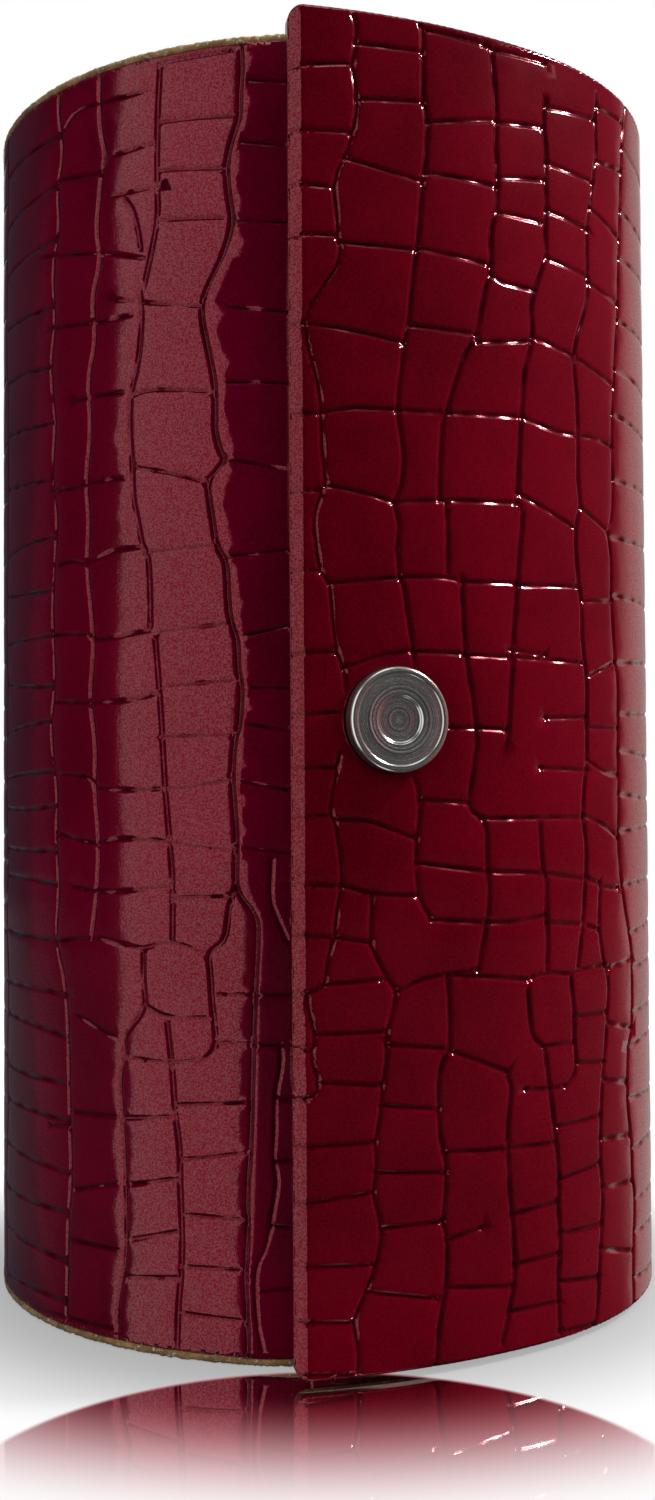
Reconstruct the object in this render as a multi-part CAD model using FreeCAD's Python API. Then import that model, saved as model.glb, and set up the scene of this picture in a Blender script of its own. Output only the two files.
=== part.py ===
import FreeCAD, Part
import math
import os

# Upright round bangle box: a covered half-open tube with a hinged flap and a padded roll inside.
# Millimetres and degrees. +Z runs up the tube, the origin is on its axis at the bottom face.
# Plan angles start at the front (-Y) and turn towards the right side (+X).

V = FreeCAD.Vector

# Body size
BODY_RADIUS = 51.0
BODY_HEIGHT = 180.0

# Wall layers of the body, from the outside in
COVER_T = 1.0
BACKING_T = 0.5
BOARD_T = 2.5
LINING_T = 0.8
RIM_PULL_BACK = 0.8
RIM_BEAD_T = 0.9
BACKING_LIFT = 0.2
TURN_IN = 6.0
EDGE_ROUND = 0.6

# End discs
END_COVER_T = 0.8
END_BOARD_T = 4.0
END_LINING_T = 0.8
END_SKIRT_T = 0.6
END_GAP = 0.6

# Flap shape: a circle that touches the body's outside at the hinge, then a flatter front
HINGE_ANGLE = 173.0
FLAP_RISE = 1.6
FLARE_START_ANGLE = 37.1
FLARE_RADIUS = 85.6
FLAP_LIFT = 0.9
FLAP_TOP_PROUD = 0.3
FLAP_CLEARANCE = 0.6
FLAP_COVER_T = 1.0
FLAP_BOARD_T = 1.8
FLAP_LINING_T = 0.6
BEVEL_RUN = 1.65
BEVEL_DROP = 1.15
FLAP_CORNER = 2.0

# Leather hinge
HINGE_HALF_GAP = 2.0
HINGE_LINING_T = 0.5

# Snap: cap outside the flap, magnet in the flap, striker on the body
SNAP_SETBACK = 8.3
SNAP_FROM_EDGE = 14.05
SNAP_BELOW_MIDDLE = 3.9
CAP_RADIUS = 7.0
CAP_SEAT = 0.3
CAP_SIDE = 1.7
CAP_RIM_ROUND = 0.5
CAP_RIM_WIDTH = 0.35
CAP_RING_DROP = 0.25
CAP_RING_CROWN = 0.12
CAP_EYE_RADIUS = 3.3
CAP_EYE_WALL = 0.45
CAP_EYE_DEPTH = 0.5
RIVET_RADIUS = 1.5
RIVET_HEAD_RADIUS = 3.5
RIVET_HEAD_T = 0.5
RIVET_IN_CAP = 0.9
CUP_RADIUS = 6.2
CUP_DEPTH = 1.9
CUP_WALL = 0.35
CUP_PROUD = 0.1
MAGNET_RADIUS = 5.75
MAGNET_T = 0.9
STRIKER_RADIUS = 5.5
STRIKER_T = 1.2
STRIKER_PROUD = 0.2
PRONG_WIDTH = 2.4
PRONG_T = 0.5
PRONG_OFFSET = 2.6
PRONG_TAB = 2.0
WASHER_RADIUS = 5.8
WASHER_T = 0.4

# Rod sockets
ROD_RADIUS = 4.0
ROD_END_PLAY = 0.4
ROD_CHAMFER = 0.6
SOCKET_CLEARANCE = 0.25
SOCKET_WALL = 2.2
SOCKET_FLANGE_RADIUS = 17.0
SOCKET_FLANGE_T = 2.0
SOCKET_WALL_HEIGHT = 6.0
SOCKET_MOUTH = 10.5
SCREW_CIRCLE = 11.5
SCREW_ANGLES = (180.0, 75.0, -75.0)
SCREW_RADIUS = 1.25
SCREW_HEAD_RADIUS = 2.5
SCREW_HEAD_T = 1.4
SCREW_LENGTH = 5.6
SCREW_CLEARANCE = 0.15
SCREW_SLOT_WIDTH = 0.6
SCREW_SLOT_DEPTH = 0.5

# Padded roll
ROLL_RADIUS = 24.0
ROLL_COVER_T = 0.8
ROLL_FOAM_T = 4.2
ROLL_TUBE_T = 2.0
ROLL_END_PLAY = 0.6
PLUG_HEAD_T = 2.0
PLUG_LENGTH = 12.0
BUSH_WALL = 1.2
BUSH_CLEARANCE = 0.08
BUSH_FLANGE_RADIUS = 7.0
BUSH_FLANGE_T = 0.8

# Values worked out from the sizes above
AXIS = V(0, 0, 0)
SKIN_IN = BODY_RADIUS - COVER_T
BOARD_OUT = SKIN_IN - BACKING_T
BOARD_IN = BOARD_OUT - BOARD_T
LINING_IN = BOARD_IN - LINING_T
END_T = END_COVER_T + END_BOARD_T + END_LINING_T
FLAP_T = FLAP_COVER_T + FLAP_BOARD_T + FLAP_LINING_T
FLAP_RADIUS = BODY_RADIUS + FLAP_RISE
FLAP_TOP = BODY_HEIGHT + FLAP_TOP_PROUD
FLAP_LINING_DEPTH = FLAP_COVER_T + FLAP_BOARD_T
SKIRT_OUT = FLAP_RADIUS - FLAP_T - END_GAP
SKIRT_IN = SKIRT_OUT - END_SKIRT_T
BODY_HINGE_ANGLE = HINGE_ANGLE + math.degrees(HINGE_HALF_GAP / BODY_RADIUS)
FLAP_HINGE_ANGLE = HINGE_ANGLE - math.degrees(HINGE_HALF_GAP / FLAP_RADIUS)
SOCKET_TOP = END_T + SOCKET_FLANGE_T + SOCKET_WALL_HEIGHT
ROLL_BOTTOM = SOCKET_TOP + ROLL_END_PLAY
ROLL_TOP = BODY_HEIGHT - ROLL_BOTTOM
FOAM_OUT = ROLL_RADIUS - ROLL_COVER_T
TUBE_OUT = FOAM_OUT - ROLL_FOAM_T
TUBE_IN = TUBE_OUT - ROLL_TUBE_T
BUSH_IN = ROD_RADIUS + BUSH_CLEARANCE
BUSH_OUT = BUSH_IN + BUSH_WALL


def at(radius, angle, centre=AXIS):
    """Point at a plan angle on a circle."""
    a = math.radians(angle)
    return V(centre.x + radius * math.sin(a), centre.y - radius * math.cos(a), 0)


# Centres of the flap's two arcs: its circle, and its flatter front
FLAP_CENTRE = at(-FLAP_RISE, HINGE_ANGLE)
FLARE_CENTRE = at(FLAP_RADIUS - FLARE_RADIUS, FLARE_START_ANGLE, FLAP_CENTRE)


def body_front_angle():
    """Where the body's wall ends under the flap, with the flap's clearance left over it."""
    away = FLARE_CENTRE.Length
    over = BODY_RADIUS + FLAP_CLEARANCE
    inside = FLARE_RADIUS - FLAP_T
    turn = math.degrees(math.acos((over ** 2 + away ** 2 - inside ** 2) / (2 * over * away)))
    return math.degrees(math.atan2(FLARE_CENTRE.x, -FLARE_CENTRE.y)) + turn


FRONT_ANGLE = body_front_angle()
BOARD_FRONT_ANGLE = FRONT_ANGLE - math.degrees(COVER_T / BOARD_OUT)
HINGE_SIDE_ANGLE = BODY_HINGE_ANGLE - 360

# The striker sits back from the wall's front edge, the snap's axis runs through it, square to the flap,
# and the flap's free edge lies past the snap
STRIKER_ANGLE = FRONT_ANGLE - math.degrees(SNAP_SETBACK / BODY_RADIUS)
SNAP_AXIS = at(BODY_RADIUS, STRIKER_ANGLE) - FLARE_CENTRE
SNAP_ANGLE = math.degrees(math.atan2(SNAP_AXIS.x, -SNAP_AXIS.y))
SNAP_HEIGHT = BODY_HEIGHT / 2 - SNAP_BELOW_MIDDLE
FLAP_EDGE_ANGLE = SNAP_ANGLE - math.degrees(SNAP_FROM_EDGE / FLARE_RADIUS)


def line(p, q):
    return Part.LineSegment(p, q).toShape()


def arc(radius, start, end, centre=AXIS):
    middle = (start + end) / 2
    return Part.Arc(at(radius, start, centre), at(radius, middle, centre),
                    at(radius, end, centre)).toShape()


def prism(edges, bottom, top):
    """Closed plan outline carried from one height to another."""
    face = Part.Face(Part.Wire(edges))
    face.translate(V(0, 0, bottom))
    return face.extrude(V(0, 0, top - bottom))


def curved_wall(inside, outside, start, end, bottom, top, centre=AXIS):
    """Piece of a round wall between two plan angles."""
    edges = [arc(outside, start, end, centre),
             line(at(outside, end, centre), at(inside, end, centre)),
             arc(inside, end, start, centre),
             line(at(inside, start, centre), at(outside, start, centre))]
    return prism(edges, bottom, top)


def cylinder(radius, bottom, top, centre=AXIS):
    return Part.makeCylinder(radius, top - bottom, V(centre.x, centre.y, bottom))


def tube(inside, outside, bottom, top):
    return cylinder(outside, bottom, top).cut(cylinder(inside, bottom, top))


def placed(shape, origin, direction):
    """Carries a shape drawn along +Z onto a direction, with its X axis kept level."""
    level = V(0, 0, 1).cross(direction)
    level.normalize()
    up = direction.cross(level)
    m = FreeCAD.Matrix(level.x, up.x, direction.x, origin.x,
                       level.y, up.y, direction.y, origin.y,
                       level.z, up.z, direction.z, origin.z,
                       0, 0, 0, 1)
    moved = shape.copy()
    moved.Placement = FreeCAD.Placement(m)
    return moved


def mirrored(shape):
    """Same piece at the other end of the body."""
    return shape.mirror(V(0, 0, BODY_HEIGHT / 2), V(0, 0, 1))


def reach(radius, angle):
    """Distance from the body's axis to a circle about the flap's centre, along a plan angle."""
    along = FLAP_CENTRE.dot(at(1, angle))
    return along + math.sqrt(along ** 2 - FLAP_CENTRE.Length ** 2 + radius ** 2)


def end_outline(open_radius):
    """End disc: inside the wall on the body's side, following the flap on the open side."""
    half = (FRONT_ANGLE + BODY_HINGE_ANGLE) / 2
    front, middle, back = [at(reach(open_radius, a), a)
                           for a in (FRONT_ANGLE, half, BODY_HINGE_ANGLE)]
    return [arc(BOARD_IN, HINGE_SIDE_ANGLE, FRONT_ANGLE),
            line(at(BOARD_IN, FRONT_ANGLE), front),
            Part.Arc(front, middle, back).toShape(),
            line(back, at(BOARD_IN, BODY_HINGE_ANGLE))]


def bevel_at(depth):
    """Run and drop of the flap's bevel, on a layer a given depth under its surface."""
    slope = math.hypot(BEVEL_RUN, BEVEL_DROP)
    run = BEVEL_RUN + depth * ((slope - BEVEL_RUN) / BEVEL_DROP - 1)
    drop = BEVEL_DROP + depth * ((slope - BEVEL_DROP) / BEVEL_RUN - 1)
    return run, drop


def flap_layer(depth, thickness, setback, end_inset, bevelled=False):
    """One layer of the flap, from its hinge edge round to its free edge."""
    top_r = FLARE_RADIUS - depth
    low_r = top_r - thickness
    edge = FLAP_EDGE_ANGLE + math.degrees(setback / top_r)
    run, drop = bevel_at(depth) if bevelled else (0, 0)
    top_edge = edge + math.degrees(run / top_r)
    round_top = FLAP_RADIUS - depth
    round_low = round_top - thickness
    edges = [arc(round_top, FLAP_HINGE_ANGLE, FLARE_START_ANGLE, FLAP_CENTRE),
             arc(top_r, FLARE_START_ANGLE, top_edge, FLARE_CENTRE)]
    if bevelled:
        edges.append(line(at(top_r, top_edge, FLARE_CENTRE), at(top_r - drop, edge, FLARE_CENTRE)))
    edges += [line(at(top_r - drop, edge, FLARE_CENTRE), at(low_r, edge, FLARE_CENTRE)),
              arc(low_r, edge, FLARE_START_ANGLE, FLARE_CENTRE),
              arc(round_low, FLARE_START_ANGLE, FLAP_HINGE_ANGLE, FLAP_CENTRE),
              line(at(round_low, FLAP_HINGE_ANGLE, FLAP_CENTRE),
                   at(round_top, FLAP_HINGE_ANGLE, FLAP_CENTRE))]
    return prism(edges, FLAP_LIFT + end_inset, FLAP_TOP - end_inset)


def without_corners(shape, radius, setback, end_inset):
    """Rounds the two corners at the flap's free edge."""
    edge = FLAP_EDGE_ANGLE + math.degrees(setback / FLARE_RADIUS)
    root = at(FLARE_RADIUS - 2 * FLAP_T, edge, FLARE_CENTRE)
    for z, way in ((FLAP_LIFT + end_inset, 1), (FLAP_TOP - end_inset, -1)):
        corner = Part.makeBox(radius, radius, 3 * FLAP_T, V(0, min(0, radius * way), 0))
        rounded = Part.makeCylinder(radius, 3 * FLAP_T, V(radius, radius * way, 0))
        shape = shape.cut(placed(corner.cut(rounded), root + V(0, 0, z), at(1, edge)))
    return shape


def rounded_edges(shape, radius, chosen):
    """Rounds the edges that a test picks out."""
    return shape.makeFillet(radius, [e for e in shape.Edges if chosen(e)])


def snap_frame():
    """Middle of the cap's seat on the flap's surface, and the way out of the flap."""
    surface = at(FLARE_RADIUS, SNAP_ANGLE, FLARE_CENTRE) + V(0, 0, SNAP_HEIGHT)
    return surface, at(1, SNAP_ANGLE)


def snap_cylinder(radius, outer_depth, inner_depth):
    """Round space through the flap on the snap's axis, between two depths."""
    surface, out = snap_frame()
    return Part.makeCylinder(radius, inner_depth - outer_depth, surface - out * inner_depth, out)


# Layers of the snap below the flap's surface
CUP_FACE_DEPTH = FLAP_T + CUP_PROUD
CUP_FLOOR_DEPTH = CUP_FACE_DEPTH - CUP_DEPTH
MAGNET_FACE_DEPTH = CUP_FACE_DEPTH - CUP_WALL
STRIKER_FLOOR = STRIKER_PROUD - STRIKER_T
WASHER_SEAT = COVER_T + BACKING_T + BOARD_T - WASHER_T - PRONG_T


def case_board():
    """Stiff board of the body's wall, with slots and a seat for the striker's prongs."""
    wall = curved_wall(BOARD_IN, BOARD_OUT, HINGE_SIDE_ANGLE, BOARD_FRONT_ANGLE, 0, BODY_HEIGHT)
    return wall.cut(prong_legs()).cut(washer_seat())


def case_backing():
    """Fabric back of the cover, its raw edge standing out past the skin at both ends."""
    bottom = BACKING_LIFT
    top = BODY_HEIGHT - BACKING_LIFT
    sheet = curved_wall(BOARD_OUT, SKIN_IN, HINGE_SIDE_ANGLE, BOARD_FRONT_ANGLE, bottom, top)
    bead = curved_wall(BOARD_OUT, SKIN_IN + RIM_BEAD_T, HINGE_SIDE_ANGLE, BOARD_FRONT_ANGLE,
                       bottom, bottom + RIM_PULL_BACK)
    return sheet.fuse([bead, mirrored(bead)]).removeSplitter().cut(prong_legs()).cut(striker_seat())


def case_cover():
    """Outer skin of the body, turned round the front edge of the wall."""
    bottom = BACKING_LIFT + RIM_PULL_BACK
    top = BODY_HEIGHT - bottom
    skin = curved_wall(SKIN_IN, BODY_RADIUS, HINGE_SIDE_ANGLE, FRONT_ANGLE, bottom, top)
    edge = curved_wall(BOARD_IN, BODY_RADIUS, BOARD_FRONT_ANGLE, FRONT_ANGLE, bottom, top)
    turn = curved_wall(LINING_IN, BOARD_IN, turn_in_angle(), FRONT_ANGLE, END_T, BODY_HEIGHT - END_T)
    cover = skin.fuse([edge, turn]).removeSplitter()
    corner = at(BODY_RADIUS, FRONT_ANGLE)
    cover = rounded_edges(cover, EDGE_ROUND, lambda e: is_upright_at(e, corner))
    return cover.cut(striker_seat()).cut(prong_legs())


def is_upright_at(edge, point):
    middle = edge.CenterOfMass
    return edge.BoundBox.ZLength > BODY_HEIGHT / 2 and math.hypot(middle.x - point.x,
                                                                  middle.y - point.y) < 0.01


def turn_in_angle():
    return FRONT_ANGLE - math.degrees(TURN_IN / BOARD_IN)


def case_lining():
    """Velvet inside the body's wall, between the two end linings."""
    return curved_wall(LINING_IN, BOARD_IN, HINGE_SIDE_ANGLE, turn_in_angle(), END_T, BODY_HEIGHT - END_T)


def end_board():
    return prism(end_outline(SKIRT_IN), END_COVER_T, END_COVER_T + END_BOARD_T).cut(screw_holes())


def end_cover():
    """Covered outside of an end, turned over the disc's rim on the open side."""
    whole = prism(end_outline(SKIRT_OUT), 0, END_T)
    return whole.cut(prism(end_outline(SKIRT_IN), END_COVER_T, END_T))


def end_lining():
    return prism(end_outline(SKIRT_IN), END_T - END_LINING_T, END_T).cut(screw_holes())


def hinge_strip(outside, thickness, bottom, top):
    return curved_wall(outside - thickness, outside, FLAP_HINGE_ANGLE, BODY_HINGE_ANGLE, bottom, top)


def hinge_leather():
    """Bare fold of the cover between the body and the flap."""
    return hinge_strip(BODY_RADIUS, COVER_T, BACKING_LIFT + RIM_PULL_BACK,
                       BODY_HEIGHT - BACKING_LIFT - RIM_PULL_BACK)


def hinge_lining():
    """Fabric glued behind the fold."""
    return hinge_strip(SKIN_IN, HINGE_LINING_T, END_T, BODY_HEIGHT - END_T)


def flap_board():
    board = flap_layer(FLAP_COVER_T, FLAP_BOARD_T, FLAP_COVER_T, FLAP_COVER_T, bevelled=True)
    board = without_corners(board, FLAP_CORNER - FLAP_COVER_T, FLAP_COVER_T, FLAP_COVER_T)
    return board.cut(snap_cylinder(CUP_RADIUS, CUP_FLOOR_DEPTH, 2 * FLAP_T)).cut(rivet_hole())


def flap_cover():
    """Skin of the flap, wrapped round its three outer edges and turned in behind them."""
    whole = rounded_edges(flap_layer(0, FLAP_T, 0, 0, bevelled=True), EDGE_ROUND, is_flap_end)
    whole = without_corners(whole, FLAP_CORNER, 0, 0)
    board = flap_layer(FLAP_COVER_T, FLAP_BOARD_T, FLAP_COVER_T, FLAP_COVER_T, bevelled=True)
    board = without_corners(board, FLAP_CORNER - FLAP_COVER_T, FLAP_COVER_T, FLAP_COVER_T)
    inside = flap_layer(FLAP_LINING_DEPTH, FLAP_LINING_T, TURN_IN, TURN_IN)
    cover = whole.cut(board).cut(inside)
    return cover.cut(snap_cylinder(CAP_RADIUS, -FLAP_T, CAP_SEAT)).cut(rivet_hole())


def is_flap_end(edge):
    """Picks the outer curved edges at the flap's top and bottom."""
    if edge.BoundBox.ZLength > 0.01 or not isinstance(edge.Curve, Part.Circle):
        return False
    return min(abs(edge.Curve.Radius - FLAP_RADIUS), abs(edge.Curve.Radius - FLARE_RADIUS)) < 0.01


def flap_lining():
    lining = flap_layer(FLAP_LINING_DEPTH, FLAP_LINING_T, TURN_IN, TURN_IN)
    return lining.cut(snap_cylinder(CUP_RADIUS, 0, 2 * FLAP_T))


def rivet_hole():
    return snap_cylinder(RIVET_RADIUS, -FLAP_T, CUP_FLOOR_DEPTH)


def snap_cap():
    """Turned cap: a bright rim, a lathe-cut ring and a sunk eye."""
    side = CAP_SIDE
    top = side + CAP_RIM_ROUND
    ring = top - CAP_RING_DROP
    rim_in = CAP_RADIUS - CAP_RIM_ROUND - CAP_RIM_WIDTH
    ring_out = rim_in - CAP_RING_DROP
    eye_in = CAP_EYE_RADIUS - CAP_EYE_WALL
    mean = (ring_out + CAP_EYE_RADIUS) / 2
    round_mid = CAP_RIM_ROUND * math.sqrt(0.5)
    shoulder = CAP_RADIUS - CAP_RIM_ROUND
    edges = [line(V(0, 0, 0), V(CAP_RADIUS, 0, 0)),
             line(V(CAP_RADIUS, 0, 0), V(CAP_RADIUS, 0, side)),
             Part.Arc(V(CAP_RADIUS, 0, side), V(shoulder + round_mid, 0, side + round_mid),
                      V(shoulder, 0, top)).toShape(),
             line(V(shoulder, 0, top), V(rim_in, 0, top)),
             line(V(rim_in, 0, top), V(ring_out, 0, ring)),
             Part.Arc(V(ring_out, 0, ring), V(mean, 0, ring + CAP_RING_CROWN),
                      V(CAP_EYE_RADIUS, 0, ring)).toShape(),
             line(V(CAP_EYE_RADIUS, 0, ring), V(eye_in, 0, ring - CAP_EYE_DEPTH)),
             line(V(eye_in, 0, ring - CAP_EYE_DEPTH), V(0, 0, ring - CAP_EYE_DEPTH)),
             line(V(0, 0, ring - CAP_EYE_DEPTH), V(0, 0, 0))]
    solid = Part.Face(Part.Wire(edges)).revolve(V(0, 0, 0), V(0, 0, 1), 360)
    surface, out = snap_frame()
    return placed(solid, surface - out * CAP_SEAT, out).cut(snap_rivet())


def snap_rivet():
    """Rivet that holds the cap, its head on the board inside the magnet's cup."""
    stem = snap_cylinder(RIVET_RADIUS, CAP_SEAT - RIVET_IN_CAP, CUP_FLOOR_DEPTH)
    head = snap_cylinder(RIVET_HEAD_RADIUS, CUP_FLOOR_DEPTH, CUP_FLOOR_DEPTH + RIVET_HEAD_T)
    return stem.fuse(head).removeSplitter()


def magnet_cup():
    """Thin steel cup whose face lies against the striker when the flap is shut."""
    cup = snap_cylinder(CUP_RADIUS, CUP_FLOOR_DEPTH, CUP_FACE_DEPTH)
    return cup.cut(snap_cylinder(CUP_RADIUS - CUP_WALL, CUP_FLOOR_DEPTH, MAGNET_FACE_DEPTH))


def snap_magnet():
    return snap_cylinder(MAGNET_RADIUS, MAGNET_FACE_DEPTH - MAGNET_T, MAGNET_FACE_DEPTH)


def on_striker(shape):
    """Carries a shape drawn on the body's surface, +Z outward, to the striker's place."""
    point = at(BODY_RADIUS, STRIKER_ANGLE) + V(0, 0, SNAP_HEIGHT)
    return placed(shape, point, at(1, STRIKER_ANGLE))


def prong_legs():
    """The striker's two legs, from its plate to behind the washer."""
    bottom = -(WASHER_SEAT + WASHER_T + PRONG_T)
    leg = Part.makeBox(PRONG_WIDTH, PRONG_T, STRIKER_FLOOR - bottom, V(-PRONG_WIDTH / 2, 0, bottom))
    upper = leg.translated(V(0, PRONG_OFFSET, 0))
    lower = leg.translated(V(0, -PRONG_OFFSET - PRONG_T, 0))
    return Part.makeCompound([on_striker(upper), on_striker(lower)])


def striker_seat():
    depth = -STRIKER_FLOOR
    return on_striker(Part.makeCylinder(STRIKER_RADIUS, depth + COVER_T, V(0, 0, -depth)))


def striker_plate():
    """Steel disc that the magnet pulls on, with its legs bent over behind the washer."""
    disc = on_striker(Part.makeCylinder(STRIKER_RADIUS, STRIKER_T, V(0, 0, STRIKER_FLOOR)))
    bottom = -(WASHER_SEAT + WASHER_T + PRONG_T)
    tab = Part.makeBox(PRONG_WIDTH, PRONG_TAB + PRONG_T, PRONG_T, V(-PRONG_WIDTH / 2, 0, bottom))
    upper = tab.translated(V(0, PRONG_OFFSET - PRONG_TAB, 0))
    lower = tab.translated(V(0, -PRONG_OFFSET - PRONG_T, 0))
    return disc.fuse([*prong_legs().Solids, on_striker(upper), on_striker(lower)]).removeSplitter()


def washer_seat():
    """Pocket in the inside of the wall for the washer and the bent legs."""
    depth = COVER_T + BACKING_T + 2 * BOARD_T
    return on_striker(Part.makeCylinder(WASHER_RADIUS, depth - WASHER_SEAT, V(0, 0, -depth)))


def striker_washer():
    washer = Part.makeCylinder(WASHER_RADIUS, WASHER_T, V(0, 0, -WASHER_SEAT - WASHER_T))
    return on_striker(washer).cut(prong_legs())


def screw_spots():
    return [V(SCREW_CIRCLE * math.cos(math.radians(a)), SCREW_CIRCLE * math.sin(math.radians(a)), 0)
            for a in SCREW_ANGLES]


def screw(spot):
    """Countersunk slotted wood screw, its head flush with the socket's flange."""
    top = END_T + SOCKET_FLANGE_T
    under_head = top - SCREW_HEAD_T
    head = Part.makeCone(SCREW_RADIUS, SCREW_HEAD_RADIUS, SCREW_HEAD_T, V(spot.x, spot.y, under_head))
    return head.fuse(cylinder(SCREW_RADIUS, top - SCREW_LENGTH, under_head, spot)).removeSplitter()


def screw_holes():
    return Part.makeCompound([screw(spot) for spot in screw_spots()])


def socket_screws():
    """The six screws of the two sockets."""
    top = END_T + SOCKET_FLANGE_T
    screws = []
    for spot in screw_spots():
        slot = Part.makeBox(2 * SCREW_HEAD_RADIUS, SCREW_SLOT_WIDTH, SCREW_SLOT_DEPTH,
                            V(spot.x - SCREW_HEAD_RADIUS, spot.y - SCREW_SLOT_WIDTH / 2,
                              top - SCREW_SLOT_DEPTH))
        screws.append(screw(spot).cut(slot))
    return Part.makeCompound(screws + [mirrored(s) for s in screws])


def rod_socket():
    """Open rod socket: a round flange and a U-shaped wall with its mouth to the right."""
    seat = ROD_RADIUS + SOCKET_CLEARANCE
    outside = seat + SOCKET_WALL
    tip = SOCKET_MOUTH - SOCKET_WALL / 2
    tip_y = seat + SOCKET_WALL / 2
    edges = [line(V(0, -outside, 0), V(tip, -outside, 0)),
             Part.Arc(V(tip, -outside, 0), V(SOCKET_MOUTH, -tip_y, 0), V(tip, -seat, 0)).toShape(),
             line(V(tip, -seat, 0), V(0, -seat, 0)),
             Part.Arc(V(0, -seat, 0), V(-seat, 0, 0), V(0, seat, 0)).toShape(),
             line(V(0, seat, 0), V(tip, seat, 0)),
             Part.Arc(V(tip, seat, 0), V(SOCKET_MOUTH, tip_y, 0), V(tip, outside, 0)).toShape(),
             line(V(tip, outside, 0), V(0, outside, 0)),
             Part.Arc(V(0, outside, 0), V(-outside, 0, 0), V(0, -outside, 0)).toShape()]
    flange_top = END_T + SOCKET_FLANGE_T
    wall = prism(edges, flange_top, SOCKET_TOP)
    socket = cylinder(SOCKET_FLANGE_RADIUS, END_T, flange_top).fuse(wall).removeSplitter()
    for spot in screw_spots():
        socket = socket.cut(cylinder(SCREW_RADIUS + SCREW_CLEARANCE, END_T, flange_top, spot))
    return socket.cut(screw_holes())


def rod():
    """Wooden dowel that rests in the two sockets."""
    bottom = END_T + SOCKET_FLANGE_T + ROD_END_PLAY
    dowel = cylinder(ROD_RADIUS, bottom, BODY_HEIGHT - bottom)
    return dowel.makeChamfer(ROD_CHAMFER, [e for e in dowel.Edges if isinstance(e.Curve, Part.Circle)])


def roll_cover():
    """Velvet sleeve of the roll, with its two gathered ends."""
    whole = cylinder(ROLL_RADIUS, ROLL_BOTTOM, ROLL_TOP)
    whole = rounded_edges(whole, ROLL_COVER_T, lambda e: isinstance(e.Curve, Part.Circle))
    padding = cylinder(FOAM_OUT, ROLL_BOTTOM + ROLL_COVER_T, ROLL_TOP - ROLL_COVER_T)
    return whole.cut(padding).cut(cylinder(BUSH_FLANGE_RADIUS, ROLL_BOTTOM, ROLL_TOP))


def roll_foam():
    return tube(TUBE_OUT, FOAM_OUT, ROLL_BOTTOM + ROLL_COVER_T, ROLL_TOP - ROLL_COVER_T)


def roll_tube():
    inset = ROLL_COVER_T + PLUG_HEAD_T
    return tube(TUBE_IN, TUBE_OUT, ROLL_BOTTOM + inset, ROLL_TOP - inset)


def roll_plug():
    """Wooden end plug of the roll's tube, bored for the bush."""
    bottom = ROLL_BOTTOM + ROLL_COVER_T
    head = cylinder(TUBE_OUT, bottom, bottom + PLUG_HEAD_T)
    plug = head.fuse(cylinder(TUBE_IN, bottom + PLUG_HEAD_T, bottom + PLUG_LENGTH)).removeSplitter()
    return plug.cut(cylinder(BUSH_OUT, bottom, bottom + PLUG_LENGTH))


def roll_bush():
    """Flanged bush that turns on the rod."""
    face = ROLL_BOTTOM + ROLL_COVER_T
    flange = cylinder(BUSH_FLANGE_RADIUS, face - BUSH_FLANGE_T, face)
    bush = flange.fuse(cylinder(BUSH_OUT, face, face + PLUG_LENGTH)).removeSplitter()
    return bush.cut(cylinder(BUSH_IN, face - BUSH_FLANGE_T, face + PLUG_LENGTH))


def pieces():
    """Every sub-part by name."""
    return {
        "case_board": case_board(),
        "case_backing": case_backing(),
        "case_cover": case_cover(),
        "case_lining": case_lining(),
        "bottom_end_board": end_board(),
        "bottom_end_cover": end_cover(),
        "bottom_end_lining": end_lining(),
        "top_end_board": mirrored(end_board()),
        "top_end_cover": mirrored(end_cover()),
        "top_end_lining": mirrored(end_lining()),
        "hinge_leather": hinge_leather(),
        "hinge_lining": hinge_lining(),
        "flap_board": flap_board(),
        "flap_cover": flap_cover(),
        "flap_lining": flap_lining(),
        "snap_cap": snap_cap(),
        "snap_rivet": snap_rivet(),
        "magnet_cup": magnet_cup(),
        "snap_magnet": snap_magnet(),
        "striker_plate": striker_plate(),
        "striker_washer": striker_washer(),
        "bottom_rod_socket": rod_socket(),
        "top_rod_socket": mirrored(rod_socket()),
        "socket_screws": socket_screws(),
        "rod": rod(),
        "roll_cover": roll_cover(),
        "roll_foam": roll_foam(),
        "roll_tube": roll_tube(),
        "bottom_roll_plug": roll_plug(),
        "top_roll_plug": mirrored(roll_plug()),
        "bottom_roll_bush": roll_bush(),
        "top_roll_bush": mirrored(roll_bush()),
    }


os.makedirs("parts", exist_ok=True)
for name, shape in pieces().items():
    shape.exportStep("parts/" + name + ".step")
    box = shape.BoundBox
    print(f"{name}: {len(shape.Solids)} solid(s), valid {shape.isValid()}, "
          f"volume {shape.Volume:.0f}, z {box.ZMin:.2f} to {box.ZMax:.2f}")
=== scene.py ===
import math
import random

import bmesh
import bpy
import numpy as np
from mathutils import Matrix, Vector, noise
from mathutils.geometry import delaunay_2d_cdt
from mathutils.kdtree import KDTree


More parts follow.
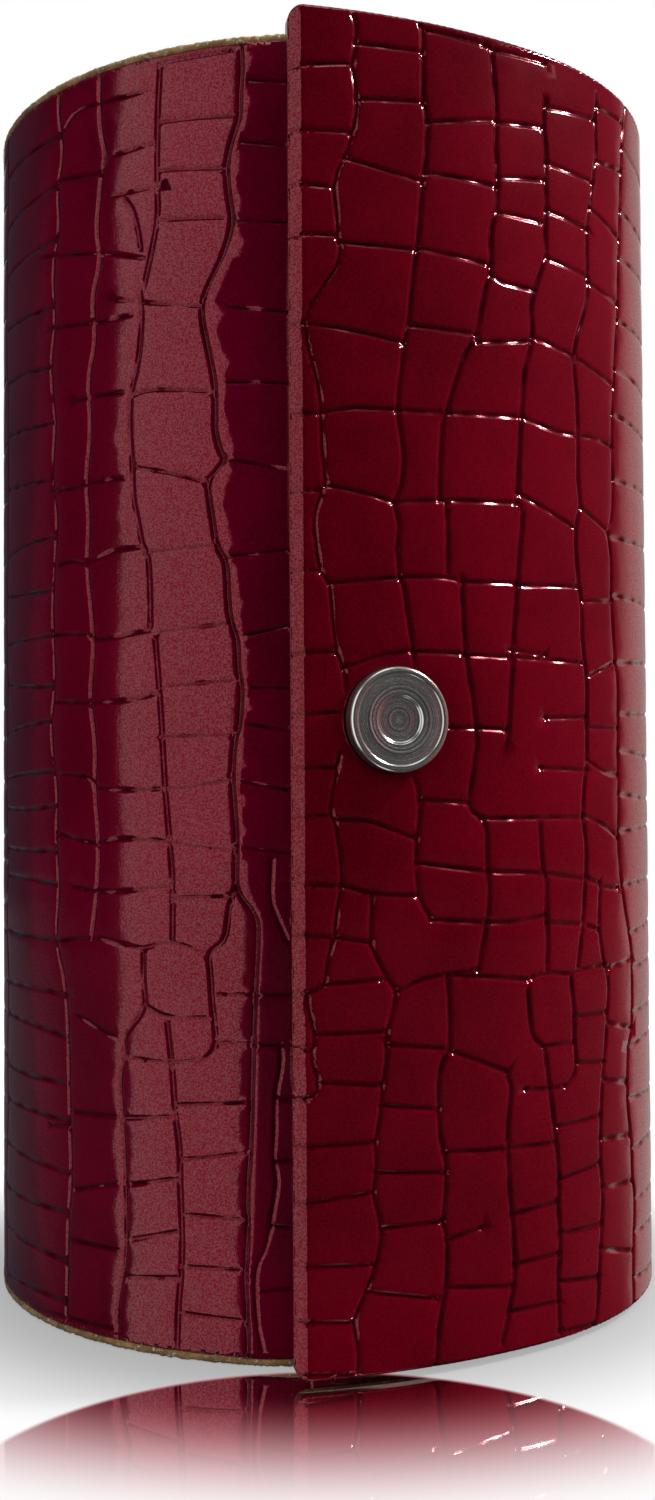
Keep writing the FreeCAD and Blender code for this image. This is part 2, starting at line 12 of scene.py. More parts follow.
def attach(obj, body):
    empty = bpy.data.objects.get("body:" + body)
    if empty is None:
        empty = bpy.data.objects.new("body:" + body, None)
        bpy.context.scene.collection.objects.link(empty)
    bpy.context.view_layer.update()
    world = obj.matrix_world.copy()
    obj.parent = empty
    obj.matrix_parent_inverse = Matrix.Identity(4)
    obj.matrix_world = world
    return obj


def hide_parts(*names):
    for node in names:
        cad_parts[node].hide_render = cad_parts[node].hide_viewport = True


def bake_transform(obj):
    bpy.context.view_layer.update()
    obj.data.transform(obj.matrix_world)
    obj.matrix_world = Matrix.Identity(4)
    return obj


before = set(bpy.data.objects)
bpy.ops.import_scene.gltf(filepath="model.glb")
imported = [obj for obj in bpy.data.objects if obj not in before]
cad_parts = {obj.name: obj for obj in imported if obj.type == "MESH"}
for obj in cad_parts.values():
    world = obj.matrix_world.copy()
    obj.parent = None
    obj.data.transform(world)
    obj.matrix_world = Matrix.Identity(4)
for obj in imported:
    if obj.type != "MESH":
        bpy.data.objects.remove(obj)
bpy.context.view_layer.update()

# Lengths are in millimetres, as in the part's source; meshes and materials are scaled to metres
MM = 0.001

# Case: a cylinder of covered board
BODY_RADIUS = 51.0
BODY_HEIGHT = 180.0
MIDDLE = BODY_HEIGHT / 2
COVER_T = 1.0
BACKING_OUT = 50.0
BOARD_OUT = 49.5
BOARD_IN = 47.0
LINING_IN = 46.2
TURN_IN = 6.0
TURN_IN_ANGLE = 11.2
FRONT_ANGLE = 18.4935
HINGE_SIDE_ANGLE = -184.75
END_T = 5.6
END_COVER_T = 0.8
END_LINING_T = 0.8
SKIRT_OUT = 48.6
SKIRT_IN = 48.0

# Flap: a flared front part and a round back part, bevelled along the free edge
FLAP_CENTRE = (-0.19499, -1.58807)
FLAP_RADIUS = 52.6
FLARE_CENTRE = (-20.10085, 24.73220)
FLARE_RADIUS = 85.6
FLAP_EDGE_ANGLE = 11.2
FLARE_START_ANGLE = 37.1
FLAP_HINGE_ANGLE = 170.82
FLAP_BOTTOM = 0.9
FLAP_TOP = 180.3
FLAP_T = 3.4
FLAP_LINING_DEPTH = 2.8
BEVEL_RUN = 1.65
BEVEL_DROP = 1.15
FLAP_CORNER = 2.0
END_ROUND = 0.6
FLARE_LENGTH = math.radians(FLARE_START_ANGLE - FLAP_EDGE_ANGLE) * FLARE_RADIUS
FLAP_LENGTH = FLARE_LENGTH + math.radians(FLAP_HINGE_ANGLE - FLARE_START_ANGLE) * FLAP_RADIUS

# Hinge strip, snap and roll: where the hinge strip ends on the case, and the snap's seat and direction
BODY_HINGE_ANGLE = 175.25
SNAP_POINT = (10.0229, -55.3922, 86.1)
SNAP_OUT = (0.3519, -0.9360, 0.0)
ROLL_RADIUS = 24.0
ROLL_BOTTOM = 14.2
ROLL_TOP = 165.8

# Camera that took the photograph, fitted to its outlines
PHOTO_SIZE = (655, 1500)
FOCAL_PX = 1694.75
CENTRE_PX = (319.59, 744.57)
PITCH = math.radians(1.5907)
ROLL = math.radians(-0.315)
CAMERA_AT = (0.0, -278.5, 76.72)

# Distance between the noise fields of two seeds
SEED_SPREAD = 7.31


def at(radius, degrees, centre=(0.0, 0.0)):
    """A point in plan: the angle runs from the front (-Y) towards +X."""
    angle = np.radians(degrees)
    return centre[0] + radius * np.sin(angle), centre[1] - radius * np.cos(angle)


def on_case(u, z, rise):
    """Points of the case's skin, u millimetres round from the front and rise above the skin."""
    x, y = at(BODY_RADIUS + rise, np.degrees(u / BODY_RADIUS))
    return np.column_stack([x, y, z])


def on_flap(u, z, rise):
    """Points of the flap's skin, u millimetres round from its free edge and rise above the skin."""
    flare = at(FLARE_RADIUS + rise, FLAP_EDGE_ANGLE + np.degrees(u / FLARE_RADIUS), FLARE_CENTRE)
    turn = FLARE_START_ANGLE + np.degrees((u - FLARE_LENGTH) / FLAP_RADIUS)
    back = at(FLAP_RADIUS + rise, turn, FLAP_CENTRE)
    flared = u < FLARE_LENGTH
    x = np.where(flared, flare[0], back[0])
    y = np.where(flared, flare[1], back[1])
    return np.column_stack([x, y, z])


def photo_ray(pixel):
    """Direction from the camera through a pixel of the photograph."""
    dx = pixel[0] - CENTRE_PX[0]
    dy = pixel[1] - CENTRE_PX[1]
    across = (math.cos(ROLL) * dx + math.sin(ROLL) * dy) / FOCAL_PX
    up = -(math.cos(ROLL) * dy - math.sin(ROLL) * dx) / FOCAL_PX
    forward = math.cos(PITCH) - math.sin(PITCH) * up
    rise = math.sin(PITCH) + math.cos(PITCH) * up
    return across, forward, rise


def ray_on_cylinder(pixel, radius, centre):
    """Nearest hit of a pixel's ray with an upright cylinder, or the point where the ray passes closest."""
    dx, dy, dz = photo_ray(pixel)
    ox = CAMERA_AT[0] - centre[0]
    oy = CAMERA_AT[1] - centre[1]
    a = dx * dx + dy * dy
    b = ox * dx + oy * dy
    c = ox * ox + oy * oy - radius * radius
    reach = (-b - math.sqrt(max(b * b - a * c, 0.0))) / a
    x = ox + reach * dx
    y = oy + reach * dy
    return math.degrees(math.atan2(x, -y)), CAMERA_AT[2] + reach * dz


def case_uz(pixel):
    """Place on the case's skin that a pixel of the photograph shows."""
    angle, z = ray_on_cylinder(pixel, BODY_RADIUS, (0.0, 0.0))
    return math.radians(angle) * BODY_RADIUS, z


def flap_uz(pixel):
    """Place on the flap's skin that a pixel of the photograph shows."""
    angle, z = ray_on_cylinder(pixel, FLARE_RADIUS, FLARE_CENTRE)
    if angle < FLARE_START_ANGLE:
        return math.radians(angle - FLAP_EDGE_ANGLE) * FLARE_RADIUS, z
    angle, z = ray_on_cylinder(pixel, FLAP_RADIUS, FLAP_CENTRE)
    return FLARE_LENGTH + math.radians(angle - FLARE_START_ANGLE) * FLAP_RADIUS, z


def new_object(name, points, faces):
    """A mesh object from points in millimetres."""
    mesh = bpy.data.meshes.new(name)
    mesh.from_pydata((np.asarray(points, float) * MM).tolist(), [], faces)
    mesh.validate()
    mesh.update()
    piece = bpy.data.objects.new(name, mesh)
    bpy.context.scene.collection.objects.link(piece)
    return piece


def set_value(piece, name, values):
    """Stores one number per point of a mesh, for its material to read."""
    attribute = piece.data.attributes.new(name, "FLOAT", "POINT")
    attribute.data.foreach_set("value", np.asarray(values, np.float32))


def smooth_shaded(piece):
    """Marks every face of a mesh as smooth."""
    piece.data.polygons.foreach_set("use_smooth", [True] * len(piece.data.polygons))
    return piece


def finished(piece, body, material, slot, *nodes):
    """Gives a piece its material, hides the nodes that it stands for, and lets it ride; slot is not used."""
    piece.data.materials.clear()
    piece.data.materials.append(material)
    if nodes:
        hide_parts(*nodes)
    if body:
        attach(piece, body)
    return piece


def waviness(u, z, scale, seed):
    """Smooth noise from -1 to 1 over the skin."""
    return noise.noise(Vector((u / scale, z / scale, seed * SEED_SPREAD)))


def tube_faces(rings, size):
    """Four-sided faces between rings of points that follow each other."""
    faces = []
    for ring in range(rings - 1):
        for i in range(size):
            j = (i + 1) % size
            faces.append([ring * size + i, ring * size + j, (ring + 1) * size + j, (ring + 1) * size + i])
    return faces


# Grooves of the emboss, placed on the photograph: pixels of each line, lines parted by ;
FLAP_UPRIGHTS = """
353,15 357,25 356,43 353,63 355,80 358,100 356,117 353,133 349,147 342,160 337,173 334,187 337,207
338,233 341,250 337,267 325,283 312,302 305,323 308,347 315,370 320,393 321,413 322,443 326,485;
322,492 313,517 317,547 320,570 330,583 332,603 334,630 337,650 344,668 346,690;
340,755 337,770 335,783 331,800 330,813 335,820 338,840 342,867 342,887 337,910 335,937 328,957 325,983;
308,995 308,1007 313,1027 315,1040 311,1060 318,1077 318,1093 307,1100;
372,893 373,900 371,920 370,943 382,970 397,992;
397,992 392,1013 387,1033 387,1060 382,1090 380,1120 375,1143 377,1167 373,1193 380,1220 382,1237
375,1270 367,1290 360,1307 354,1322 357,1340 359,1363 358,1377;
418,20 423,30 423,50 424,77 423,100 428,117 427,143 425,173 422,187 420,217 418,247 413,273 410,317
405,337 402,367 397,403 400,430 404,455 402,487 393,502 400,523 397,547 400,577 405,590 408,617
413,643 415,670;
411,765 413,777 420,793 420,813 417,837 416,863 418,895 427,913 432,920;
485,43 492,50 494,77 497,117 495,140 498,173 497,207 490,233 492,267 485,290 478,327 475,337 462,360
452,393 448,407 443,420 441,443 440,470 440,500; 447,503 448,540 448,573;
462,580 463,610 465,647 468,670 473,697 475,720 478,730 475,757 473,777 468,800 472,813 482,818
487,827 487,850 488,873 490,900 487,923 478,970;
448,977 450,1010 451,1047 438,1073 439,1107 440,1137 445,1153 447,1177 443,1223 448,1240 447,1287
442,1310 438,1343 437,1367;
545,103 543,127 547,153 545,173 547,207 545,233 547,253 540,273 535,290 530,310 533,330 530,350
525,367 523,387 522,413 520,433 518,493; 523,513 518,573 515,617 513,647 512,677 510,703 508,740;
540,823 542,867 547,880 547,913 548,943 547,970; 528,990 530,1013 532,1037 543,1047;
545,1050 550,1090 555,1127 560,1180 558,1200 560,1230 560,1260 558,1280 560,1333;
508,1077 512,1090 508,1120 508,1160 510,1193 513,1227 516,1273 512,1297 508,1320 503,1343;
597,100 595,120 597,150 593,183 590,207 587,227 587,250 588,283 587,303 580,327 573,353 575,380
577,400 578,437 578,480 581,507 575,527 577,573 582,603 582,643 587,677 587,717 587,767 584,783
583,817 587,850 586,877 583,923 578,967; 571,977 573,1000 575,1020 574,1040 577,1060 574,1077 565,1087;
600,887 599,927 603,960 608,973 609,993 607,1020 606,1047 603,1073 601,1110 600,1160 603,1187
602,1227 600,1260 598,1310 595,1327
"""
FLAP_LAST_UPRIGHT = """
626,85 625,110 622,133 621,167 620,200 619,233 618,277 618,310 615,350 614,383 612,417 612,450 613,480
613,513 608,533 612,563 611,597 613,630 615,660 618,680 618,723 618,770 619,797 618,837 620,873
625,910 630,937 632,960 632,1027 628,1047 627,1077 628,1110 632,1143 632,1177 635,1193 633,1260
634,1293 633,1325
"""
FLAP_CROSSES = """
286,65 353,63; 286,129 351,132; 286,183 335,187; 286,233 337,235; 286,323 305,323; 286,412 321,413;
286,570 320,570; 286,653 336,652; 286,716 340,712; 286,768 337,768; 286,818 332,815; 286,883 342,887;
286,935 336,938; 286,998 308,995 325,985; 286,1103 307,1100; 286,1148 375,1143; 286,1207 373,1193;
286,1268 373,1265; 286,1323 354,1323; 286,1375 352,1375; 286,490 322,490; 286,1050 311,1052;
356,43 423,52; 357,99 423,102; 345,158 385,170 423,182; 340,242 418,250; 305,323 352,330 403,343;
321,413 352,407 397,410; 326,485 362,492 393,502; 330,583 368,580 400,577; 344,668 378,655 412,651;
335,820 365,820 385,827 418,840; 340,885 375,895 418,896; 336,938 372,943; 325,985 382,980;
315,1035 387,1032; 318,1083 382,1086;
427,30 485,45; 428,122 497,120; 425,173 458,177 498,187; 418,248 452,255 491,265; 411,325 445,330 476,334;
397,410 448,413; 393,502 440,500; 400,577 448,577 462,582; 412,651 465,654; 450,728 478,728;
420,800 468,803; 416,863 445,867 488,872; 432,920 487,923; 397,992 425,978 448,975 478,970;
387,1045 451,1050; 382,1106 439,1110; 377,1173 447,1173; 382,1229 443,1222; 367,1292 437,1299;
495,50 535,60 545,63; 497,122 543,127; 498,177 545,180; 498,212 542,222; 492,275 502,283 535,290;
478,342 532,341; 448,413 522,417; 440,500 517,503; 462,582 518,583; 465,655 512,657 582,663;
478,728 508,730; 482,819 583,817; 488,872 547,873 600,882; 487,923 518,922 547,915;
448,975 485,977 528,980; 453,1052 507,1072; 445,1153 508,1149 555,1143; 448,1240 482,1228;
447,1288 513,1287;
547,107 595,120; 547,163 593,183; 547,210 588,230; 547,258 588,277; 533,337 575,357 614,387;
522,417 558,433 592,437 612,447; 518,493 573,527; 518,585 577,587; 510,650 545,655; 545,718 587,717;
540,768 587,770; 547,923 583,924 599,930; 532,978 547,972 571,975 578,970 605,965; 543,1047 575,1042;
525,1090 552,1089 565,1086; 558,1127 601,1115; 560,1180 600,1163; 512,1215 558,1202; 560,1234 602,1224;
515,1265 559,1254; 560,1282 600,1277; 510,1312 560,1302; 560,1332 593,1325;
597,107 622,123; 597,162 621,172; 590,208 619,240; 588,283 618,305; 581,508 608,532; 582,601 612,601;
587,677 615,662; 587,727 618,728; 587,760 605,773 618,775; 583,815 602,823 618,838;
587,877 602,887 618,888; 575,1017 607,1012; 577,1063 605,1062; 609,968 632,958; 609,1023 632,1028;
605,1080 627,1082; 601,1139 630,1135; 603,1188 632,1180; 601,1249 633,1251
"""
CASE_VALLEY = """
240,38 242,67 240,97 240,120 232,140 227,163 228,190 233,217 230,237 222,260 207,290 202,307 203,323
208,347 215,380 216,407 215,430 220,450 227,460 212,477 208,487 210,500 213,520 217,547 227,560
228,593 230,620 238,640 238,673 242,683 240,727 235,737 232,777 235,810 237,847 236,877
237,889 245,901 254,911 258,925 257,950 255,990 253,1040 252,1090 250,1157 247,1190 248,1240 245,1273
247,1307 248,1357
"""
CASE_UPRIGHTS = """
236,885 230,904 228,920 225,942 208,953 210,970 212,997 213,1017 217,1040 213,1053 200,1062;
272,860 270,900 277,917 287,940; 280,1043 282,1063 275,1097 275,1137 273,1157 278,1183 273,1210
267,1247 255,1267 257,1320 263,1350;
100,66 100,120 103,140 107,157 102,173 100,200; 125,200 133,210 138,233 140,247;
157,187 158,217 153,243 145,280; 160,63 157,120 157,187;
140,297 142,320 138,363 133,383 130,397 129,430 132,463 133,500 137,517 142,547 148,553 150,593 150,627;
155,640 160,700 162,740 165,790 170,850 173,887 172,940;
143,953 143,987 147,1007 122,1037 127,1057 120,1073 122,1107 123,1123 125,1157 126,1190 127,1240
125,1267 122,1280 117,1307 118,1345;
167,1023 170,1050 173,1077 175,1117 180,1150 180,1190 182,1223 182,1267 178,1307 177,1355;
100,200 97,230 102,260 92,300 97,340 88,380 92,430 86,480 90,520 87,565 92,610 95,650 90,700 97,745
95,790 100,840 98,890 92,940
"""
CASE_LAST_UPRIGHT = """
60,83 58,115 64,150 57,190 60,230 52,270 56,320 50,370 56,420 52,470 58,520 55,560 52,620 56,680 50,730
58,790 56,840 60,890 55,940 68,990 70,1123 72,1173 68,1223 68,1263 66,1335
"""
CASE_CROSSES = """
160,63 233,50; 62,135 75,110 107,102 137,93; 160,122 233,115; 115,155 153,143; 160,170 225,168;
58,180 77,177 103,173; 115,195 160,186; 160,220 223,217; 40,257 100,253 143,258;
117,300 150,303 200,306; 50,328 100,323 130,315; 77,400 123,392; 133,395 150,389 213,391;
52,490 67,490 93,482 123,478; 137,468 173,473 207,482; 250,82 300,83; 243,143 300,147; 240,222 300,223;
230,308 300,313; 230,383 300,383; 230,460 300,472; 55,567 72,560 87,565 113,550 140,547;
143,553 213,545; 230,557 300,548; 55,635 88,633 95,642 133,633 150,630; 160,632 230,623; 250,635 300,623;
160,687 238,680; 55,702 97,703 133,700 157,693; 253,688 300,688; 160,737 233,735; 250,725 300,732;
62,775 88,775 100,790 133,790 187,788 230,780; 247,782 300,793; 57,833 97,845 117,838 160,840 200,847
237,850; 247,848 300,855; 73,887 107,893 150,888 173,885; 173,897 230,897; 55,942 93,937 120,943
143,950 167,940 203,952; 217,995 300,995; 78,1015 115,1037; 147,1007 167,1018 213,1018;
217,1043 283,1045; 128,1058 167,1063 200,1060; 75,1112 115,1117; 125,1118 175,1117; 178,1105 250,1103;
50,1125 68,1126; 182,1160 250,1153; 75,1190 117,1184; 127,1185 177,1179; 183,1215 247,1220;
72,1240 117,1250; 128,1240 177,1232; 182,1267 247,1270; 128,1277 177,1278; 180,1313 248,1322;
20,1303 67,1317 113,1330; 280,1100 300,1100; 278,1160 300,1162; 270,1225 300,1228; 262,1290 300,1288
"""

# Width and depth of each kind of groove, and of the dimples where flap grooves meet
UPRIGHT_GROOVE = (0.60, 0.28)
CROSS_GROOVE = (0.52, 0.22)
CASE_UPRIGHT_GROOVE = (0.54, 0.21)
CASE_CROSS_GROOVE = (0.48, 0.17)
VALLEY_GROOVE = (0.62, 0.24)
DIMPLE = (0.62, 0.18)

# A groove's depth along it: its mean share, how much it varies, and over what length
GROOVE_MEAN = 0.85
GROOVE_VARIES = 0.4
GROOVE_PATCH = 2.4
GROOVE_SEED = 3

# The raised edge along the case's valley: its height, foot, flat top and the run of its back
BULGE_RISE = 0.72
BULGE_FOOT = 0.5
BULGE_TOP = 1.15
BULGE_RUN = 8.5

# The pillow of each scale, and the slow waves of the whole skin
PILLOW_RISE = 0.055
PILLOW_RUN = 1.5
WAVE_RISE = 0.04
WAVE_LENGTH = 9.0

# The generated emboss: where an upright bends, and the size, tilt and bend of the rungs between two
UPRIGHT_SWAY = 1.3
UPRIGHT_BEND_STEP = (6, 11)
UPRIGHT_PAST_END = 4
RUNG_START = (1, 5)
RUNG_STEP = (6.0, 10.0)
RUNG_STEP_BELOW = 0.8
RUNG_TILT = 1.4
RUNG_BEND = 0.5
RUNG_END_GAP = 1
RUNG_SEED = 100

# Spacing of the points that stand for a groove line, and a point far from every skin
LINE_STEP = 0.25
NOWHERE = (-999.0, -999.0)


def read_lines(text, to_skin):
    """Groove lines read off the photograph, laid on a skin."""
    lines = []
    for part in text.split(";"):
        pixels = [tuple(float(value) for value in word.split(",")) for word in part.split()]
        if len(pixels) > 1:
            lines.append([to_skin(pixel) for pixel in pixels])
    return lines


def softened(line):
    """The same line with its corners cut twice."""
    line = [tuple(point) for point in line]
    for _ in range(2):
        cut = [line[0]]
        for (u0, z0), (u1, z1) in zip(line, line[1:]):
            cut.append((0.75 * u0 + 0.25 * u1, 0.75 * z0 + 0.25 * z1))
            cut.append((0.25 * u0 + 0.75 * u1, 0.25 * z0 + 0.75 * z1))
        cut.append(line[-1])
        line = cut
    return line


def straight(u, low=0, high=181):
    """A straight upright line."""
    return [(u, low), (u, high)]


def walked(line, step):
    """Points at an even step along a line, and the line's direction at each."""
    points = np.asarray(line, float)
    runs = np.hypot(*np.diff(points, axis=0).T)
    along = np.concatenate([[0], np.cumsum(runs)])
    count = max(int(along[-1] / step), 1)
    where = np.linspace(0, along[-1], count + 1)
    u = np.interp(where, along, points[:, 0])
    z = np.interp(where, along, points[:, 1])
    du = np.gradient(u)
    dz = np.gradient(z)
    size = np.maximum(np.hypot(du, dz), 1e-9)
    return np.column_stack([u, z]), np.column_stack([du / size, dz / size])


def wandering(u, low, high, seed):
    """An upright groove that wanders a little to each side."""
    rng = random.Random(seed)
    line = []
    z = low
    while z < high + 2 * UPRIGHT_PAST_END:
        line.append((u + rng.uniform(-UPRIGHT_SWAY, UPRIGHT_SWAY), z))
        z += rng.uniform(*UPRIGHT_BEND_STEP)
    return line


def ladder(left, right, low, high, seed):
    """Cross grooves between two uprights, closer together in the lower half."""
    rng = random.Random(seed)
    left = np.array(sorted(left, key=lambda point: point[1]))
    right = np.array(sorted(right, key=lambda point: point[1]))
    rungs = []
    z = low + rng.uniform(*RUNG_START)
    middle = (low + high) / 2
    while z < high - RUNG_END_GAP:
        tilt = rng.uniform(-RUNG_TILT, RUNG_TILT)
        from_u = np.interp(z, left[:, 1], left[:, 0])
        to_u = np.interp(z + tilt, right[:, 1], right[:, 0])
        bend = rng.uniform(-RUNG_BEND, RUNG_BEND)
        rungs.append([(from_u, z), ((from_u + to_u) / 2, z + tilt / 2 + bend), (to_u, z + tilt)])
        z += rng.uniform(*RUNG_STEP) * (1.0 if z > middle else RUNG_STEP_BELOW)
    return rungs


def columns(left, places, low, high, seed):
    """Uprights at the given places and the cross grooves between them, starting from a known upright."""
    uprights = []
    crosses = []
    for number, u in enumerate(places):
        line = wandering(u, low - UPRIGHT_PAST_END, high + UPRIGHT_PAST_END, seed + number)
        uprights.append(line)
        crosses += ladder(left, line, low, high, seed + RUNG_SEED + number)
        left = line
    return uprights, crosses


def plane_tree(points):
    """A lookup of the nearest of some plane points."""
    tree = KDTree(len(points))
    for index, (u, z) in enumerate(points):
        tree.insert((u, z, 0.0), index)
    tree.balance()
    return tree


class Relief:
    """Height of the embossed skin, from its groove lines."""

    def __init__(self, groups, seed, crossings=(), bulging=()):
        self.seed = seed
        feet = [point for line in bulging for point in walked(softened(line), LINE_STEP)[0]]
        feet.sort(key=lambda point: point[1])
        self.bulge_u = np.array([u for u, _ in feet])
        self.bulge_z = np.array([z for _, z in feet])
        self.crossings = [tuple(point) for point in crossings]
        self.dimples = plane_tree([NOWHERE, *self.crossings])
        self.lines = []
        self.trees = []
        for lines, (width, depth) in groups:
            lines = [softened(line) for line in lines]
            samples = np.vstack([walked(line, LINE_STEP)[0] for line in lines])
            self.trees.append((plane_tree(samples), width, depth))
            self.lines += [(line, width) for line in lines]

    def height(self, u, z):
        """Rise of the skin at one place, and how far it is in a groove, from 0 to 1."""
        nearest = PILLOW_RUN
        sunk = 0.0
        groove = 0.0
        place = (u, z, 0.0)
        for tree, width, depth in self.trees:
            distance = tree.find(place)[2]
            nearest = min(nearest, distance)
            if distance < width:
                share = (1 - (distance / width) ** 2) ** 2
                share *= GROOVE_MEAN + GROOVE_VARIES * waviness(u, z, GROOVE_PATCH, self.seed + GROOVE_SEED)
                groove = max(groove, share)
                sunk = max(sunk, depth * share)
        swell = 0.0
        if len(self.bulge_z):
            reach = u - float(np.interp(z, self.bulge_z, self.bulge_u))
            if 0 < reach < BULGE_TOP + BULGE_RUN:
                slope = 1 - max(reach - BULGE_TOP, 0.0) / BULGE_RUN
                swell = BULGE_RISE * slope ** 2 * min(reach / BULGE_FOOT, 1.0)
        aside = self.dimples.find(place)[2] / DIMPLE[0]
        if aside < 1:
            sunk += DIMPLE[1] * (1 - aside * aside) ** 2
        rise = nearest / PILLOW_RUN
        pillow = PILLOW_RISE * rise * rise * (3 - 2 * rise)
        wave = WAVE_RISE * waviness(u, z, WAVE_LENGTH, self.seed)
        return pillow + wave + swell - sunk, groove


# Mesh points beside each groove, as shares of its width, and the spacing of points along it and elsewhere
GROOVE_OFFSETS = (0.0, 0.4, 0.8, 1.25)
GROOVE_STEP = 0.95
DIMPLE_RINGS = (0.24, 0.46)
DIMPLE_SIDES = 8
FIELD_STEP = 2.2
FIELD_STRAY = 0.2

# How far inside the outline each kind of mesh point keeps, and how far from the points before it
EXTRA_KEEPS = (0.04, 0.05)
CROSSING_KEEPS = (0.9, 0.1)
DIMPLE_GAP = 0.12
GROOVE_KEEPS = (0.12, 0.17)
FIELD_KEEPS = (0.9, 1.1)

# Distance between the places whose heights give a point's normal
NORMAL_REACH = 0.06

# The flap's bevel: how blunt its inner bend is, and the lip along the free edge
BEVEL_BLUNT = 0.25
LIP_RISE = 0.16
LIP_RUN = 0.3


class PointSet:
    """Plane points with none closer together than asked."""

    def __init__(self):
        self.points = []
        self.cells = {}

    def is_free(self, u, z, gap):
        """Whether no point lies closer than the gap."""
        column = math.floor(u)
        row = math.floor(z)
        reach = math.ceil(gap)
        for i in range(column - reach, column + reach + 1):
            for j in range(row - reach, row + reach + 1):
                for (pu, pz) in self.cells.get((i, j), ()):
                    if (pu - u) ** 2 + (pz - z) ** 2 < gap * gap:
                        return False
        return True

    def add(self, u, z, gap):
        """Adds a point if its place is free."""
        if self.is_free(u, z, gap):
            self.cells.setdefault((math.floor(u), math.floor(z)), []).append((u, z))
            self.points.append((float(u), float(z)))


def closed_walk(corners, step):
    """Points at an even step along each side of a closed outline."""
    loop = []
    for start, end in zip(corners, corners[1:] + corners[:1]):
        count = max(round(math.dist(start, end) / step), 1)
        for k in range(count):
            share = k / count
            loop.append((start[0] + (end[0] - start[0]) * share, start[1] + (end[1] - start[1]) * share))
    return loop


def ring_points(centre, radii, count):
    """Rings of points round a place."""
    points = []
    for radius in radii:
        for k in range(count):
            turn = 2 * math.pi * k / count
            points.append((centre[0] + radius * math.cos(turn), centre[1] + radius * math.sin(turn)))
    return points


def plane_mesh(outline, relief, inside, extra):
    """Triangles over an outline, close together along the grooves.

    inside(u, z) is the distance in from the outline, and extra holds points asked for beforehand.
    """
    points = PointSet()
    for u, z in outline:
        points.add(u, z, 0.0)
    for u, z in extra:
        if inside(u, z) > EXTRA_KEEPS[0]:
            points.add(u, z, EXTRA_KEEPS[1])
    for u, z in relief.crossings:
        if inside(u, z) > CROSSING_KEEPS[0]:
            points.add(u, z, CROSSING_KEEPS[1])
            for pu, pz in ring_points((u, z), DIMPLE_RINGS, DIMPLE_SIDES):
                points.add(pu, pz, DIMPLE_GAP)
    for offset in GROOVE_OFFSETS:
        for line, width in relief.lines:
            places, ways = walked(line, GROOVE_STEP)
            for (u, z), (du, dz) in zip(places, ways):
                for side in ((1,) if offset == 0 else (1, -1)):
                    pu = u - dz * offset * width * side
                    pz = z + du * offset * width * side
                    if inside(pu, pz) > GROOVE_KEEPS[0]:
                        points.add(pu, pz, GROOVE_KEEPS[1])
    rng = random.Random(5)
    low = np.min(outline, axis=0)
    high = np.max(outline, axis=0)
    for i in range(int((high[0] - low[0]) / FIELD_STEP) + 1):
        for j in range(int((high[1] - low[1]) / FIELD_STEP) + 1):
            u = low[0] + (i + 0.5 * (j % 2) + rng.uniform(-FIELD_STRAY, FIELD_STRAY)) * FIELD_STEP
            z = low[1] + (j + rng.uniform(-FIELD_STRAY, FIELD_STRAY)) * FIELD_STEP
            if inside(u, z) > FIELD_KEEPS[0]:
                points.add(u, z, FIELD_KEEPS[1])
    count = len(outline)
    edges = [(k, (k + 1) % count) for k in range(count)]
    flat = [Vector(point) for point in points.points]
    corners, _, faces, *_ = delaunay_2d_cdt(flat, edges, [list(range(count))], 1, 1e-5, False)
    return np.array([[point.x, point.y] for point in corners]), [list(face) for face in faces]


def outer_loop(faces):
    """Points round the edge of a triangle mesh, in order."""
    directed = {}
    pairs = set()
    for face in faces:
        for a, b in zip(face, face[1:] + face[:1]):
            pairs.add((a, b))
    for a, b in pairs:
        if (b, a) not in pairs:
            directed[a] = b
    start = next(iter(directed))
    loop = [start]
    while directed[loop[-1]] != start:
        loop.append(directed[loop[-1]])
    return loop


def embossed(name, outline, place, rise, rings, relief, inside, extra):
    """A covered sheet: relief on its outer side, and walls behind its edge.

    place(u, z, rise) gives points in space, rise(u, z) the height and groove share, and
    rings(u, z) the places (u, z, depth) of the wall behind an edge point.
    """
    flat, faces = plane_mesh(outline, relief, inside, extra)
    shifted = [(0, 0), (NORMAL_REACH, 0), (-NORMAL_REACH, 0), (0, NORMAL_REACH), (0, -NORMAL_REACH)]
    heights = np.empty((len(shifted), len(flat)))
    groove = np.empty(len(flat))
    for row, (du, dz) in enumerate(shifted):
        for k, (u, z) in enumerate(flat):
            height, share = rise(u + du, z + dz)
            heights[row, k] = height
            if row == 0:
                groove[k] = share
    top, right, left, above, below = (place(flat[:, 0] + du, flat[:, 1] + dz, heights[row])
                                      for row, (du, dz) in enumerate(shifted))
    normals = np.cross(right - left, above - below)
    normals /= np.linalg.norm(normals, axis=1)[:, None]
    if float(np.dot(normals[0], face_normal(top, faces[0]))) < 0:
        normals = -normals
    loop = outer_loop(faces)
    walls = [[(flat[k, 0], flat[k, 1], -heights[0, k])] + rings(flat[k, 0], flat[k, 1]) for k in loop]
    depth = len(walls[0])
    wall_uzd = np.array(walls).reshape(-1, 3)
    wall_points = place(wall_uzd[:, 0], wall_uzd[:, 1], -wall_uzd[:, 2])
    base = len(top)
    for i in range(len(loop)):
        following = (i + 1) % len(loop)
        for j in range(depth - 1):
            a = base + i * depth + j
            b = base + following * depth + j
            faces.append([b, a, a + 1, b + 1])
    piece = new_object(name, np.vstack([top, wall_points]), faces)
    smooth_shaded(piece)
    wall_normals = np.array([vertex.normal for vertex in piece.data.vertices])[base:]
    piece.data.normals_split_custom_set_from_vertices(np.vstack([normals, wall_normals]).tolist())
    set_value(piece, "groove", np.concatenate([groove, np.zeros(len(wall_points))]))
    set_value(piece, "height", np.concatenate([flat[:, 1], wall_uzd[:, 1]]))
    return piece


